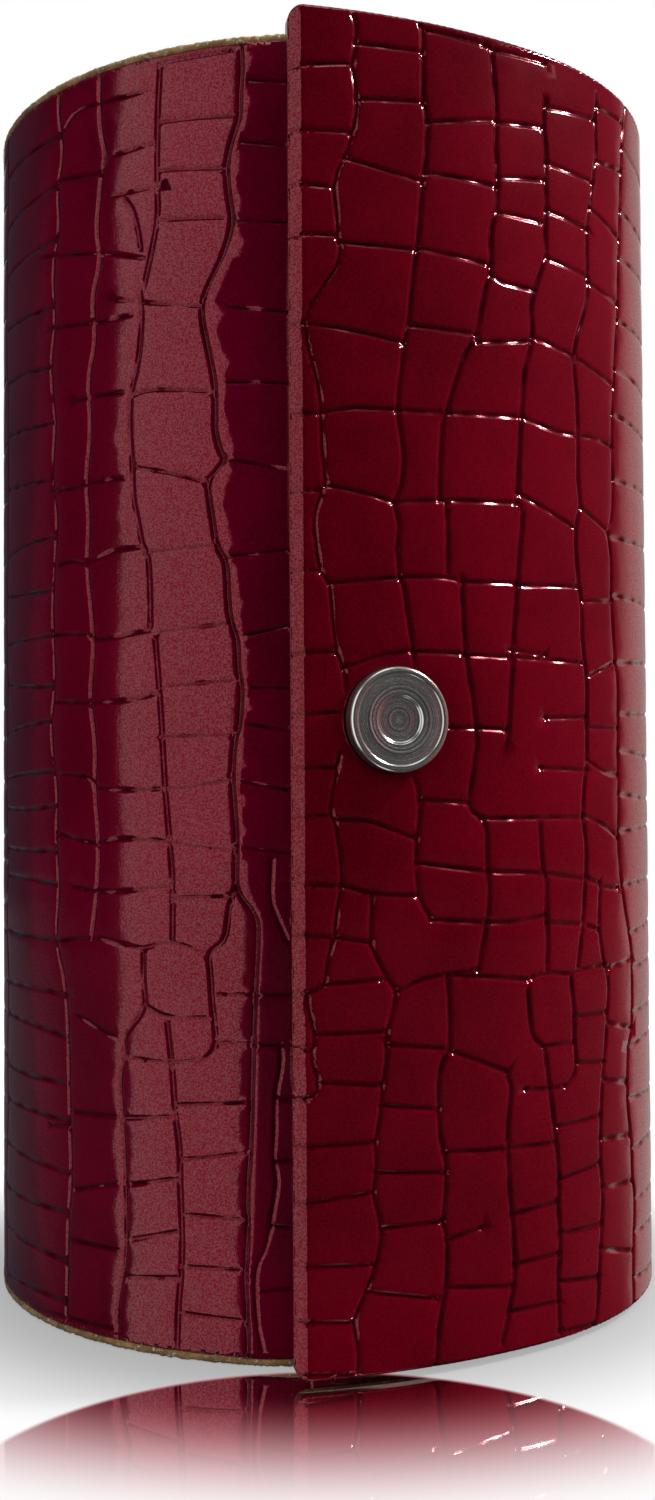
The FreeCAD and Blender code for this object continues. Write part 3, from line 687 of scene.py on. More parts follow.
def face_normal(points, face):
    """Direction that a face of a mesh looks in."""
    a, b, c = (points[k] for k in face[:3])
    return np.cross(b - a, c - a)


def round_drop(inset, radius):
    """Drop of a rounded edge, an inset distance in from its rim."""
    if inset >= radius:
        return 0.0
    inset = max(inset, 0.002)
    return radius - math.sqrt(radius * radius - (radius - inset) ** 2)


def bevel_drop(inset):
    """Drop of the flap's bevel, an inset distance in from its free edge."""
    inset = max(inset, 0.0)
    over = BEVEL_RUN - inset
    ramp = (over + math.hypot(over, BEVEL_BLUNT)) / 2 - BEVEL_BLUNT * BEVEL_BLUNT / (4 * BEVEL_RUN)
    lip = LIP_RISE * max(1 - inset / LIP_RUN, 0.0) ** 2
    return BEVEL_DROP / BEVEL_RUN * max(ramp, 0.0) + lip


# Flap cover: the snap's place on it, the seat it presses in, and the relief's share at the ends
SNAP_ANGLE = math.degrees(math.atan2(SNAP_POINT[0] - FLARE_CENTRE[0], FLARE_CENTRE[1] - SNAP_POINT[1]))
SNAP_UZ = (math.radians(SNAP_ANGLE - FLAP_EDGE_ANGLE) * FLARE_RADIUS, SNAP_POINT[2])
CAP_RADIUS = 7.0
CAP_SEAT = 0.3
UNDER_CAP = 0.05
SEAT_START = 0.15
SEAT_REACH = 1.6
SEAT_DEPTH = 0.28
FLAP_END_RELIEF = 0.45
FLAP_HINGE_ROUND = (0.35, 0.6)

# Walls behind the flap's edge: depths at the hinge, and (how far in, depth) round the other sides
FLAP_HINGE_WALL = (1.0, 3.2, FLAP_T, FLAP_T, FLAP_T)
FLAP_TURNED_WALL = ((0, 1.6), (0, 3.1), (0.3, FLAP_T), (TURN_IN, FLAP_T), (TURN_IN, FLAP_LINING_DEPTH))
ON_EDGE = 0.01

# Rows of mesh points, by their distance in from an edge or out from the snap's middle
EDGE_ROWS = (0.07, 0.2, 0.4, 0.65, 1.1)
FREE_EDGE_ROWS = (0.12, 0.3, 0.7, 1.15, 1.5, 1.8, 2.2, 2.8)
CORNER_ROWS = (0.1, 0.3, 0.65, 1.1, 1.5)
SNAP_ROWS = (5.5, 6.97, 7.03, 7.25, 7.6, 8.1)

# Spacing of points along an outline, along the flap's free edge and along its ends
OUTLINE_STEP = 0.9
FREE_EDGE_STEP = 0.8
FLAP_END_STEP = 1.2

flap_last = read_lines(FLAP_LAST_UPRIGHT, flap_uz)
back_places = [80.5 + 9.6 * k for k in range(9)]
back_uprights, back_crosses = columns(flap_last[0], back_places, FLAP_BOTTOM, FLAP_TOP, 40)
back_crosses += ladder(back_uprights[-1], straight(FLAP_LENGTH + 2), 0, 181, 77)
flap_crosses = read_lines(FLAP_CROSSES, flap_uz) + back_crosses
flap_ends = [line[-1] for line in flap_crosses] + [line[0] for line in flap_crosses if line[0][0] > 1]
flap_relief = Relief([
    (read_lines(FLAP_UPRIGHTS, flap_uz) + flap_last + back_uprights, UPRIGHT_GROOVE),
    (flap_crosses, CROSS_GROOVE),
], 1, flap_ends)


def flap_insets(u, z):
    """Distances in from the free edge and the nearer end, and how far a corner faces the free edge."""
    end = min(z - FLAP_BOTTOM, FLAP_TOP - z)
    if u < FLAP_CORNER and end < FLAP_CORNER:
        away = math.hypot(FLAP_CORNER - u, FLAP_CORNER - end)
        inset = FLAP_CORNER - away
        return inset, inset, ((FLAP_CORNER - u) / max(away, 1e-6)) ** 2
    return u, end, 1.0 if u < FLAP_CORNER else 0.0


def inside_flap(u, z):
    """Distance in from the flap's outline."""
    free, end, _ = flap_insets(u, z)
    return min(free, end, FLAP_LENGTH - u)


def flap_rise(u, z):
    """Height of the flap's skin with its bevel, rounded ends and the snap's seat, and its groove share."""
    height, groove = flap_relief.height(u, z)
    free, end, facing = flap_insets(u, z)
    height *= min(FLAP_END_RELIEF + max(end, 0.0), 1.0)
    away = math.dist((u, z), SNAP_UZ)
    if away < CAP_RADIUS + SEAT_REACH:
        near = max((away - CAP_RADIUS + SEAT_START) / (SEAT_REACH + SEAT_START), 0.0)
        height = height * near - SEAT_DEPTH * (1 - near) ** 2
        groove *= near
    if away < CAP_RADIUS:
        height = min(height, -CAP_SEAT - UNDER_CAP)
    height -= facing * bevel_drop(free) + (1 - facing) * round_drop(end, END_ROUND)
    height -= FLAP_HINGE_ROUND[0] * round_drop(max(FLAP_LENGTH - u, 0.0), FLAP_HINGE_ROUND[1])
    return height, groove


def flap_rings(u, z):
    """The wall round the flap's edge and the cover turned in behind it."""
    at_hinge = u > FLAP_LENGTH - ON_EDGE
    if at_hinge and FLAP_BOTTOM + ON_EDGE < z < FLAP_TOP - ON_EDGE:
        return [(u, z, depth) for depth in FLAP_HINGE_WALL]
    return [(u if at_hinge else max(u, by), min(max(z, FLAP_BOTTOM + by), FLAP_TOP - by), depth)
            for by, depth in FLAP_TURNED_WALL]


corner_low = [(FLAP_CORNER - FLAP_CORNER * math.cos(t), FLAP_BOTTOM + FLAP_CORNER - FLAP_CORNER * math.sin(t))
              for t in np.linspace(0, math.pi / 2, 8)]
corner_high = [(u, FLAP_BOTTOM + FLAP_TOP - z) for u, z in reversed(corner_low)]
flap_corners = corner_low + [(FLAP_LENGTH, FLAP_BOTTOM), (FLAP_LENGTH, FLAP_TOP)] + corner_high
flap_extra = []
for z in np.arange(FLAP_BOTTOM + 2.0, FLAP_TOP - 1.9, FREE_EDGE_STEP):
    flap_extra += [(u, z) for u in FREE_EDGE_ROWS]
for u in np.arange(FLAP_CORNER, FLAP_LENGTH - 0.2, FLAP_END_STEP):
    flap_extra += [(u, FLAP_BOTTOM + inset) for inset in EDGE_ROWS]
    flap_extra += [(u, FLAP_TOP - inset) for inset in EDGE_ROWS]
for inset in CORNER_ROWS:
    radius = FLAP_CORNER - inset
    for t in np.linspace(0, math.pi / 2, 6):
        u = FLAP_CORNER - radius * math.cos(t)
        dz = FLAP_CORNER - radius * math.sin(t)
        flap_extra += [(u, FLAP_BOTTOM + dz), (u, FLAP_TOP - dz)]
flap_extra += ring_points(SNAP_UZ, SNAP_ROWS, 56)
flap_cover = embossed("flap_croc_cover", closed_walk(flap_corners, OUTLINE_STEP), on_flap, flap_rise,
                      flap_rings, flap_relief, inside_flap, flap_extra)

# Case cover: its extent, the striker's pocket in it, and the rounding of its cut ends
CASE_START = math.radians(HINGE_SIDE_ANGLE) * BODY_RADIUS
CASE_END = math.radians(FRONT_ANGLE) * BODY_RADIUS
SKIN_BOTTOM = 1.0
SKIN_TOP = 179.0
STRIKER_UZ = (math.radians(9.1689) * BODY_RADIUS, SNAP_POINT[2])
STRIKER_RADIUS = 5.5
STRIKER_EASE = 1.5
STRIKER_SINK = 0.1
STRIKER_POCKET = 1.2
STRIKER_ROWS = (5.42, 5.5, 5.58, 6.0, 6.6)
CASE_END_RELIEF = 0.5
CUT_ROUND = (0.8, 0.25)
CUT_ROWS = (0.08, 0.3, 0.8)
CUT_STEP = 0.45
FRONT_DEPTH = 4.0
UNDER_FLAP_U = -2.0

case_last = read_lines(CASE_LAST_UPRIGHT, case_uz)
left_places = [-63.0 - 9.3 * k for k in range(11)]
left_uprights, left_crosses = columns(case_last[0], left_places, 0, 180, 140)
left_crosses += ladder(straight(CASE_START - 2), left_uprights[-1], 0, 181, 177)
under_uprights, under_crosses = columns(straight(UNDER_FLAP_U), [7.2], 0, 180, 240)
under_crosses += ladder(under_uprights[0], straight(CASE_END + 1), 0, 180, 277)
under_uprights.append([(UNDER_FLAP_U + math.sin(z / 9.0), z) for z in np.arange(-2, 183, 6.0)])
case_relief = Relief([
    (read_lines(CASE_UPRIGHTS, case_uz) + case_last + left_uprights + under_uprights, CASE_UPRIGHT_GROOVE),
    (read_lines(CASE_CROSSES, case_uz) + left_crosses + under_crosses, CASE_CROSS_GROOVE),
    (read_lines(CASE_VALLEY, case_uz), VALLEY_GROOVE),
], 2, bulging=read_lines(CASE_VALLEY, case_uz))


def cut_wave(u, seed):
    """How far the scissors strayed along a cut edge."""
    return 0.16 + 0.16 * waviness(u, 0, 9.0, seed) + 0.10 * waviness(u, 0, 1.3, seed + 1)


def case_ends(u):
    """Levels of the skin's two cut edges at one place round the case."""
    return SKIN_BOTTOM + max(cut_wave(u, 11), 0.0), SKIN_TOP - max(cut_wave(u, 13), 0.0)


def inside_case(u, z):
    """Distance in from the case cover's outline."""
    low, high = case_ends(u)
    return min(u - CASE_START, CASE_END - u, z - low, high - z)


def case_rise(u, z):
    """Height of the case's skin with its rounded edges and the striker's pocket, and its groove share."""
    height, groove = case_relief.height(u, z)
    low, high = case_ends(u)
    end = min(z - low, high - z)
    height *= min(CASE_END_RELIEF + max(end, 0.0) * 0.5, 1.0)
    away = math.dist((u, z), STRIKER_UZ)
    if away < STRIKER_RADIUS + STRIKER_EASE:
        near = max((away - STRIKER_RADIUS) / STRIKER_EASE, 0.0)
        height = height * near - STRIKER_SINK * (1 - near)
        groove *= near
    if away < STRIKER_RADIUS:
        height = -STRIKER_POCKET
    height -= round_drop(CASE_END - u, END_ROUND) + CUT_ROUND[0] * round_drop(end, CUT_ROUND[1])
    return height, groove


def case_rings(u, z):
    """The wall behind the case cover's edge."""
    depth = FRONT_DEPTH if u > CASE_END - ON_EDGE else COVER_T
    return [(u, z, 0.5 * depth), (u, z, depth)]


front_low, front_high = case_ends(CASE_END)
back_low, back_high = case_ends(CASE_START)
case_outline = [(u, case_ends(u)[0]) for u in np.arange(CASE_START, CASE_END - 0.3, CUT_STEP)]
case_outline += [(CASE_END, z) for z in np.arange(front_low, front_high - 0.4, OUTLINE_STEP)]
case_outline += [(u, case_ends(u)[1]) for u in np.arange(CASE_END, CASE_START + 0.3, -CUT_STEP)]
case_outline += [(CASE_START, z) for z in np.arange(back_high, back_low + 0.4, -OUTLINE_STEP)]
case_extra = []
for u in np.arange(CASE_START + 0.5, CASE_END - 0.1, 1.0):
    low, high = case_ends(u)
    case_extra += [(u, low + inset) for inset in CUT_ROWS]
    case_extra += [(u, high - inset) for inset in CUT_ROWS]
for z in np.arange(2.4, 177.8, 0.9):
    case_extra += [(CASE_END - inset, z) for inset in EDGE_ROWS]
case_extra += ring_points(STRIKER_UZ, STRIKER_ROWS, 44)
case_cover = embossed("case_croc_cover", case_outline, on_case, case_rise, case_rings, case_relief,
                      inside_case, case_extra)


def swept_strip(name, section, low, high, count, wobble, seed):
    """An upright strip: a closed plan section [(angle, radius)] carried from low to high."""
    points = []
    size = len(section)
    for k in range(count):
        z = low + (high - low) * (k / (count - 1))
        for angle, radius in section:
            x, y = at(radius + wobble * waviness(angle * 4, z, 6.0, seed), angle)
            points.append((x, y, z))
    faces = tube_faces(count, size)
    faces.append(list(range(size))[::-1])
    faces.append([(count - 1) * size + i for i in range(size)])
    return facing_out(new_object(name, points, faces))


def facing_out(piece):
    """Turns every face of a closed mesh outwards."""
    mesh = bmesh.new()
    mesh.from_mesh(piece.data)
    bmesh.ops.recalc_face_normals(mesh, faces=mesh.faces[:])
    mesh.to_mesh(piece.data)
    mesh.free()
    return piece


def softened_edges(piece, width):
    """Rounds the sharp edges of a mesh."""
    bevel = piece.modifiers.new("round", "BEVEL")
    bevel.width = width * MM
    bevel.segments = 2
    bevel.limit_method = "ANGLE"
    bevel.angle_limit = math.radians(40)
    with bpy.context.temp_override(object=piece, active_object=piece):
        bpy.ops.object.modifier_apply(modifier=bevel.name)
    return piece


# The cover turned in behind the case's front edge
turn_angles = list(np.linspace(TURN_IN_ANGLE, FRONT_ANGLE, 6))
turn_section = [(a, LINING_IN) for a in turn_angles] + [(a, BOARD_IN) for a in reversed(turn_angles)]
turned_strip = swept_strip("front_turn_in", turn_section, END_T, BODY_HEIGHT - END_T, 90, 0.05, 31)
front_turn_in = smooth_shaded(softened_edges(turned_strip, 0.25))

# Raw rim: its section as (radius, share of the way out), its step, its unevenness and its limits
RIM_SECTION = ((BOARD_OUT, 0.0), (BOARD_OUT + 0.1, 1.0), (50.15, 1.06), (50.75, 0.98), (51.0, 0.62),
               (50.95, 0.15), (50.6, -0.35), (49.9, -0.5))
RIM_STEP = 0.28
RIM_RAGGED = 0.07
RIM_LIMIT = 51.05
RIM_LEVELS = (("bottom", 0.15, 1.05, -1), ("top", 178.95, 179.85, 1))
RIM_CLEARANCE = 0.05
FIBRES = 1100
FIBRE_LIMIT = 51.3
FIBRE_CLEARANCE = 0.08


def kept_between_ends(z, clearance):
    """A level held inside the body's height."""
    return min(max(z, clearance), BODY_HEIGHT - clearance)


def raw_rim(name, low, high, outward, seed):
    """The cloth back of the cover, showing past the cut edge of the skin as a ragged bead."""
    rng = random.Random(seed)
    start = math.radians(HINGE_SIDE_ANGLE) * BOARD_OUT
    end = math.radians(FRONT_ANGLE - 1.2) * BOARD_OUT
    count = int((end - start) / RIM_STEP)
    inner, outer = (low, high) if outward > 0 else (high, low)
    points = []
    for k in range(count + 1):
        u = start + (end - start) * k / count
        ragged = rng.uniform(-RIM_RAGGED, RIM_RAGGED)
        for i, (radius, share) in enumerate(RIM_SECTION):
            lump = (0.07 * noise.noise(Vector((u / 0.5, i * 0.9, seed)))
                    + 0.05 * noise.noise(Vector((u / 3, i, seed))))
            level = inner + (outer - inner) * share + outward * (lump + (ragged if 0 < i < 5 else 0))
            x, y = at(min(radius + lump, RIM_LIMIT), math.degrees(u / BOARD_OUT))
            points.append((x, y, kept_between_ends(level, RIM_CLEARANCE)))
    size = len(RIM_SECTION)
    faces = tube_faces(count + 1, size)
    faces.append(list(range(size)))
    faces.append([count * size + i for i in range(size)])
    return smooth_shaded(facing_out(new_object(name, points, faces)))


def loose_fibres(name, level, outward, seed):
    """Cut threads that stand out of the raw rim and lie over the skin's edge."""
    rng = random.Random(seed)
    points = []
    faces = []
    for _ in range(FIBRES):
        angle = rng.uniform(HINGE_SIDE_ANGLE + 0.5, FRONT_ANGLE - 2.0)
        start_z = level + outward * rng.uniform(-0.55, 0.5)
        length = rng.uniform(0.3, 1.0) * (1.5 if rng.random() < 0.12 else 1.0)
        lean = rng.uniform(-1.2, 1.2)
        drop = rng.uniform(-0.9, 0.35) * outward
        radius = 0.022 + 0.02 * rng.random()
        base = len(points)
        for k in range(4):
            share = k / 3
            curl = 0.12 * math.sin(share * 3 + rng.uniform(0, 3))
            out = 50.9 + 0.16 * math.sin(math.pi * min(share * 1.2, 1.0)) + 0.04 * rng.random()
            z = kept_between_ends(start_z + drop * length * share + curl * 0.5, FIBRE_CLEARANCE)
            along = angle + math.degrees((lean * length * share + curl) / BODY_RADIUS)
            x, y = at(min(out, FIBRE_LIMIT), along)
            place = np.array((x, y, z))
            outside = np.array((x, y, 0)) / BODY_RADIUS
            side = np.cross(outside, (0, 0, 1))
            thick = radius * (1 - 0.75 * k / 3)
            points += [place + thick * side, place + thick * outside, place - thick * side]
        faces += [[base + corner for corner in face] for face in tube_faces(4, 3)]
        faces.append([base, base + 2, base + 1])
        faces.append([base + 9, base + 10, base + 11])
    return smooth_shaded(new_object(name, points, faces))


rims = []
for end, low, high, outward in RIM_LEVELS:
    rims.append(raw_rim(end + "_raw_rim", low, high, outward, 17 + outward))
    rims.append(loose_fibres(end + "_rim_threads", low if outward > 0 else high, outward, 23 + outward))


# Covered ends
def end_limit(angle):
    """Radius of an end disc along a plan angle: the case's board on one side, the skirt on the other."""
    if angle <= FRONT_ANGLE:
        return BOARD_IN
    along = FLAP_CENTRE[0] * math.sin(math.radians(angle)) - FLAP_CENTRE[1] * math.cos(math.radians(angle))
    spread = FLAP_CENTRE[0] ** 2 + FLAP_CENTRE[1] ** 2
    return along + math.sqrt(along ** 2 - spread + SKIRT_OUT ** 2)


def end_angle(x, y):
    """Plan angle of a place on an end, in the case's own range."""
    angle = math.degrees(math.atan2(x, -y))
    return angle if angle <= BODY_HINGE_ANGLE else angle - 360


def inside_end(x, y):
    """Distance in from an end's outline."""
    return end_limit(end_angle(x, y)) - math.hypot(x, y)


end_places = [-47.5 + 9.4 * k for k in range(12)]
end_outline = [at(BOARD_IN, angle) for angle in np.arange(HINGE_SIDE_ANGLE, FRONT_ANGLE - 0.3, 1.3)]
end_outline.append(at(BOARD_IN, FRONT_ANGLE))
for angle in np.arange(FRONT_ANGLE + 0.02, BODY_HINGE_ANGLE, 1.2):
    end_outline.append(at(end_limit(angle), angle))
end_outline = [(float(x), float(y)) for x, y in end_outline]
end_extra = []
for angle in np.arange(HINGE_SIDE_ANGLE + 1, BODY_HINGE_ANGLE, 1.4):
    for inset in (0.08, 0.25, 0.5, 0.9):
        end_extra.append(tuple(float(value) for value in at(end_limit(angle) - inset, angle)))


def end_cover(name, level, outward, seed):
    """Embossed cover of an end, turned over the rim where the flap closes."""
    uprights, crosses = columns(straight(-57, -60, 60), end_places, -58, 58, seed)
    relief = Relief([(uprights, UPRIGHT_GROOVE), (crosses, CROSS_GROOVE)], seed)

    def rise(x, y):
        height, groove = relief.height(x, y)
        inset = inside_end(x, y)
        height = (height - PILLOW_RISE - WAVE_RISE) * min(0.4 + max(inset, 0.0), 1.0)
        return height - round_drop(inset, 0.5), groove

    def rings(x, y):
        if not FRONT_ANGLE + ON_EDGE < end_angle(x, y) < BODY_HINGE_ANGLE - 0.4:
            return [(x, y, depth) for depth in (0.5 * END_COVER_T, END_COVER_T, END_COVER_T, END_COVER_T)]
        shrink = 1 - (SKIRT_OUT - SKIRT_IN) / math.hypot(x, y)
        inner = (x * shrink, y * shrink)
        return [(x, y, 0.5 * END_T), (x, y, END_T), (*inner, END_T), (*inner, END_T - END_COVER_T)]

    def place(x, y, height):
        return np.column_stack([x, y, level + outward * np.asarray(height)])

    return embossed(name, end_outline, place, rise, rings, relief, inside_end, end_extra)


bottom_cover = end_cover("bottom_croc_cover", 0.0, -1, 301)
top_cover = end_cover("top_croc_cover", BODY_HEIGHT, 1, 302)


# Strips over the hinge, and the velvet on the board's edge beside them
def hinge_section(outside, thickness, count, ridges):
    """Plan section of a strip over the hinge, with three soft ridges outside."""
    angles = np.linspace(FLAP_HINGE_ANGLE, BODY_HINGE_ANGLE, count)
    section = [(angle, outside - ridges + ridges * math.cos(k / (count - 1) * 6 * math.pi))
               for k, angle in enumerate(angles)]
    return section + [(angle, outside - thickness) for angle in reversed(angles)]


hinge_leather = smooth_shaded(swept_strip("hinge_fold", hinge_section(BODY_RADIUS, COVER_T, 19, 0.09),
                                          SKIN_BOTTOM, SKIN_TOP, 150, 0.05, 41))
hinge_cloth = smooth_shaded(swept_strip("hinge_cloth", hinge_section(BACKING_OUT, 0.5, 9, 0.03),
                                        END_T, BODY_HEIGHT - END_T, 90, 0.03, 43))
edge_section = [(BODY_HINGE_ANGLE - 0.02, LINING_IN + 0.05), (BODY_HINGE_ANGLE - 0.3, LINING_IN + 0.05),
                (BODY_HINGE_ANGLE - 0.4, LINING_IN + 0.3), (BODY_HINGE_ANGLE - 0.4, BOARD_OUT - 0.1),
                (BODY_HINGE_ANGLE - 0.02, BOARD_OUT - 0.1)]
lining_z = (END_T + 0.05, BODY_HEIGHT - END_T - 0.05)
edge_velvet = smooth_shaded(swept_strip("case_edge_velvet", edge_section, *lining_z, 90, 0.02, 47))


# Velvet linings: spacing of their points, rounding of their edges, their lumps, and how far they are set back
VELVET_STEP = 1.6
VELVET_ROUND = 0.3
VELVET_LUMP = 0.04
VELVET_SET_BACK = 0.03
MAGNET_HOLE = 6.3


def velvet_sheet(name, place, u_range, z_range, inner, thickness, seed, hole=None):
    """A thin closed sheet with its shown side at rise -inner, and a hole of a radius round SNAP_UZ."""
    across, up = (np.linspace(low, high, int((high - low) / VELVET_STEP) + 1)
                  for low, high in (u_range, z_range))
    sheet = []
    for depth in (inner, inner - thickness):
        for u in across:
            for z in up:
                edge = min(u - u_range[0], u_range[1] - u, z - z_range[0], z_range[1] - z)
                soft = round_drop(edge, VELVET_ROUND) if depth == inner else 0.0
                lump = VELVET_LUMP * waviness(u, z, 11.0, seed) if depth == inner else 0.0
                pu, pz = u, z
                if hole:
                    away = math.dist((u, z), SNAP_UZ)
                    if 0 < away < hole + VELVET_STEP:
                        pull = hole / away if away < hole + VELVET_STEP * 0.72 else 1.0
                        pu = SNAP_UZ[0] + (u - SNAP_UZ[0]) * pull
                        pz = SNAP_UZ[1] + (z - SNAP_UZ[1]) * pull
                sheet.append((pu, pz, -(depth - soft - VELVET_SET_BACK + lump)))
    sheet = np.array(sheet)
    rows = len(up)
    layer = len(across) * rows
    faces = []
    for i in range(len(across) - 1):
        for j in range(rows - 1):
            a = i * rows + j
            quad = [a, a + rows, a + rows + 1, a + 1]
            if hole and math.dist(sheet[quad, :2].mean(axis=0), SNAP_UZ) < hole - 0.2:
                continue
            faces.append(quad)
            faces.append([layer + k for k in reversed(quad)])
    edges = dict.fromkeys((a, b) for face in faces if face[0] < layer
                          for a, b in zip(face, face[1:] + face[:1]))
    faces += [[b, a, layer + a, layer + b] for a, b in edges if (b, a) not in edges]
    return smooth_shaded(facing_out(new_object(name, place(*sheet.T), faces)))


lining_end = TURN_IN_ANGLE - 0.1
lining_u = (CASE_START + 0.3, math.radians(lining_end) * BODY_RADIUS)
case_lining = velvet_sheet("case_velvet", on_case, lining_u, lining_z, BODY_RADIUS - LINING_IN, 0.75, 51)
flap_lining_u = (TURN_IN + 0.1, FLAP_LENGTH)
flap_lining_z = (FLAP_BOTTOM + TURN_IN + 0.1, FLAP_TOP - TURN_IN - 0.1)
flap_lining = velvet_sheet("flap_velvet", on_flap, flap_lining_u, flap_lining_z, FLAP_T, 0.55, 53,
                           MAGNET_HOLE)


def end_velvet(name, shown, hidden, seed):
    """Velvet disc on the inside of an end; shown and hidden are the levels of its two sides."""
    rim = [at(min(end_limit(angle), SKIRT_IN + 0.9) - (0.65 if angle > FRONT_ANGLE else 0.05), angle)
           for angle in np.arange(HINGE_SIDE_ANGLE, BODY_HINGE_ANGLE, 2.5)]
    toward = 1 if shown > hidden else -1
    points = []
    shares = (1.0, 0.985, 0.94, 0.85, 0.7, 0.5, 0.3, 0.12)
    for share in shares:
        for x, y in rim:
            drop = 0.25 if share == 1.0 else 0.05 if share > 0.98 else 0.0
            lump = VELVET_LUMP * waviness(x * share, y * share, 12.0, seed)
            points.append((x * share, y * share, shown - toward * (drop + VELVET_LUMP - lump)))
    size = len(rim)
    points += [(x, y, hidden) for x, y in rim]
    middle = len(points)
    points += [(0, 0, shown - toward * VELVET_LUMP), (0, 0, hidden)]
    faces = tube_faces(len(shares), size)
    under = len(shares) * size
    for i in range(size):
        j = (i + 1) % size
        faces.append([under - size + i, under - size + j, middle])
        faces.append([i, under + i, under + j, j])
        faces.append([under + i, middle + 1, under + j])
    return smooth_shaded(facing_out(new_object(name, points, faces)))


bottom_lining = end_velvet("bottom_velvet", END_T, END_T - END_LINING_T, 61)
top_lining = end_velvet("top_velvet", BODY_HEIGHT - END_T, BODY_HEIGHT - END_T + END_LINING_T, 62)


# Padded velvet roll: a seam along it, soft wrinkles, and ends gathered in pleats round the bush
ROLL_SIDES = 168
ROLL_EYE = 7.1
ROLL_END_RADII = (ROLL_EYE, 8.2, 10.0, 12.5, 15.0, 17.5, 19.5, 21.0, 22.2, 23.1, 23.65)
ROLL_END_ROUND = 0.8
PLEATS = 24
PLEAT_RUN = 14
SEAM_TURN = 2.6


def velvet_roll():
    """The roll's cover, by rings of points from one end's eye to the other's."""
    profile = [(radius, ROLL_BOTTOM + ROLL_END_ROUND * ((radius - ROLL_EYE) / 16.6) ** 3)
               for radius in ROLL_END_RADII]
    body = [(ROLL_RADIUS - 0.15, z) for z in np.linspace(ROLL_BOTTOM + 1.7, ROLL_TOP - 1.7, 70)]
    profile = profile + body + [(radius, ROLL_BOTTOM + ROLL_TOP - z) for radius, z in reversed(profile)]
    points = []
    for radius, z in profile:
        end = min(z - ROLL_BOTTOM, ROLL_TOP - z)
        inward = 1 if z < MIDDLE else -1
        for k in range(ROLL_SIDES):
            turn = 2 * math.pi * k / ROLL_SIDES
            pleat = 0.5 + 0.5 * math.cos(PLEATS * turn + 0.9 * math.sin(5 * turn))
            new_radius = radius
            new_z = z
            if end < 1.0 and radius < 23.9:
                share = max(1 - (radius - ROLL_EYE) / 17.5, 0.0)
                new_z += inward * (0.12 + 0.55 * pleat * share ** 0.6)
            elif end < PLEAT_RUN:
                new_radius -= 0.38 * pleat * (1 - end / PLEAT_RUN) ** 2
            seam = abs((turn - SEAM_TURN + math.pi) % (2 * math.pi) - math.pi) * ROLL_RADIUS
            if radius > 23:
                sunk = 0.45 * math.exp(-(seam / 0.7) ** 2)
                new_radius -= sunk - 0.12 * math.exp(-((seam - 1.9) / 1.2) ** 2)
                new_radius += 0.13 * noise.noise(Vector((math.cos(turn) * 1.8, math.sin(turn) * 1.8, z / 13)))
            x, y = at(min(new_radius, ROLL_RADIUS), math.degrees(turn))
            points.append((x, y, new_z))
    faces = tube_faces(len(profile), ROLL_SIDES)
    return smooth_shaded(facing_out(new_object("velvet_roll", points, faces)))


roll = velvet_roll()


# Snap cap: rim and dish of its turned profile as (radius, height), and the step of its tool rings
CAP_SIDES = 96
CAP_RIM = ((6.85, -0.02), (6.98, 0.05), (7.0, 0.3), (7.0, 1.0), (7.0, 1.55), (6.97, 1.78), (6.88, 1.97),
           (6.74, 2.11), (6.56, 2.185), (6.4, 2.2), (6.24, 2.185), (6.14, 2.13), (6.06, 2.02), (5.98, 1.955),
           (5.9, 1.95))
CAP_DISH = ((3.36, 1.965), (3.3, 1.94), (3.22, 1.86), (3.14, 1.7), (3.02, 1.56), (2.88, 1.475),
            (2.76, 1.45))
RIM_RING_STEP = 0.07
DISH_RING_STEP = 0.09


def turned_cap():
    """The cap, turned on a lathe with fine tool rings, and set on its own axis."""
    profile = list(CAP_RIM)
    radius = 5.86
    number = 0
    while radius > 3.42:
        crown = 0.12 * (1 - ((radius - 4.6) / 1.3) ** 2)
        cut = 0.032 if number % 2 else 0.0
        ridge = 0.05 if abs(radius - 4.35) < 0.16 else 0.0
        profile.append((radius, 1.95 + crown - cut + ridge))
        radius -= RIM_RING_STEP
        number += 1
    profile += CAP_DISH
    radius = 2.66
    number = 0
    while radius > 0.25:
        groove = 0.04 if number % 3 == 1 else 0.0
        profile.append((radius, 1.45 - groove + 0.035 * math.exp(-((radius - 1.5) / 0.25) ** 2)))
        radius -= DISH_RING_STEP
        number += 1
    profile.append((0.12, 1.42))
    points = []
    for radius, height in profile:
        points += [(x, y, height) for x, y in ring_points((0, 0), (radius,), CAP_SIDES)]
    faces = tube_faces(len(profile), CAP_SIDES)
    last = len(points) - CAP_SIDES
    faces += [[last + k, last + (k + 1) % CAP_SIDES, len(points)] for k in range(CAP_SIDES)]
    points.append((0, 0, 1.415))
    piece = smooth_shaded(new_object("snap_button", points, faces))
    out = Vector(SNAP_OUT).normalized()
    across = Vector((0, 0, 1)).cross(out).normalized()
    turn = Matrix((across, out.cross(across), out)).transposed().to_4x4()
    seat = (Vector(SNAP_POINT) - out * CAP_SEAT) * MM
    piece.matrix_world = Matrix.Translation(seat) @ turn
    return piece


cap = turned_cap()


# Materials
def add(tree, kind, inputs=None, **settings):
    """A shader node: settings are its own values, inputs its sockets, by value or by link."""
    made = tree.nodes.new("ShaderNode" + kind)
    for key, value in settings.items():
        setattr(made, key, value)
    for key, value in (inputs or {}).items():
        if isinstance(value, bpy.types.NodeSocket):
            tree.links.new(value, made.inputs[key])
        else:
            made.inputs[key].default_value = value
    return made


def new_material(name):
    """An empty node material and its tree."""
    material = bpy.data.materials.new(name)
    material.use_nodes = True
    material.node_tree.nodes.clear()
    return material, material.node_tree


def surface(tree, **inputs):
    """The one Principled shader of a material."""
    shader = add(tree, "BsdfPrincipled", {key.replace("_", " "): value for key, value in inputs.items()})
    add(tree, "OutputMaterial", {"Surface": shader.outputs["BSDF"]})


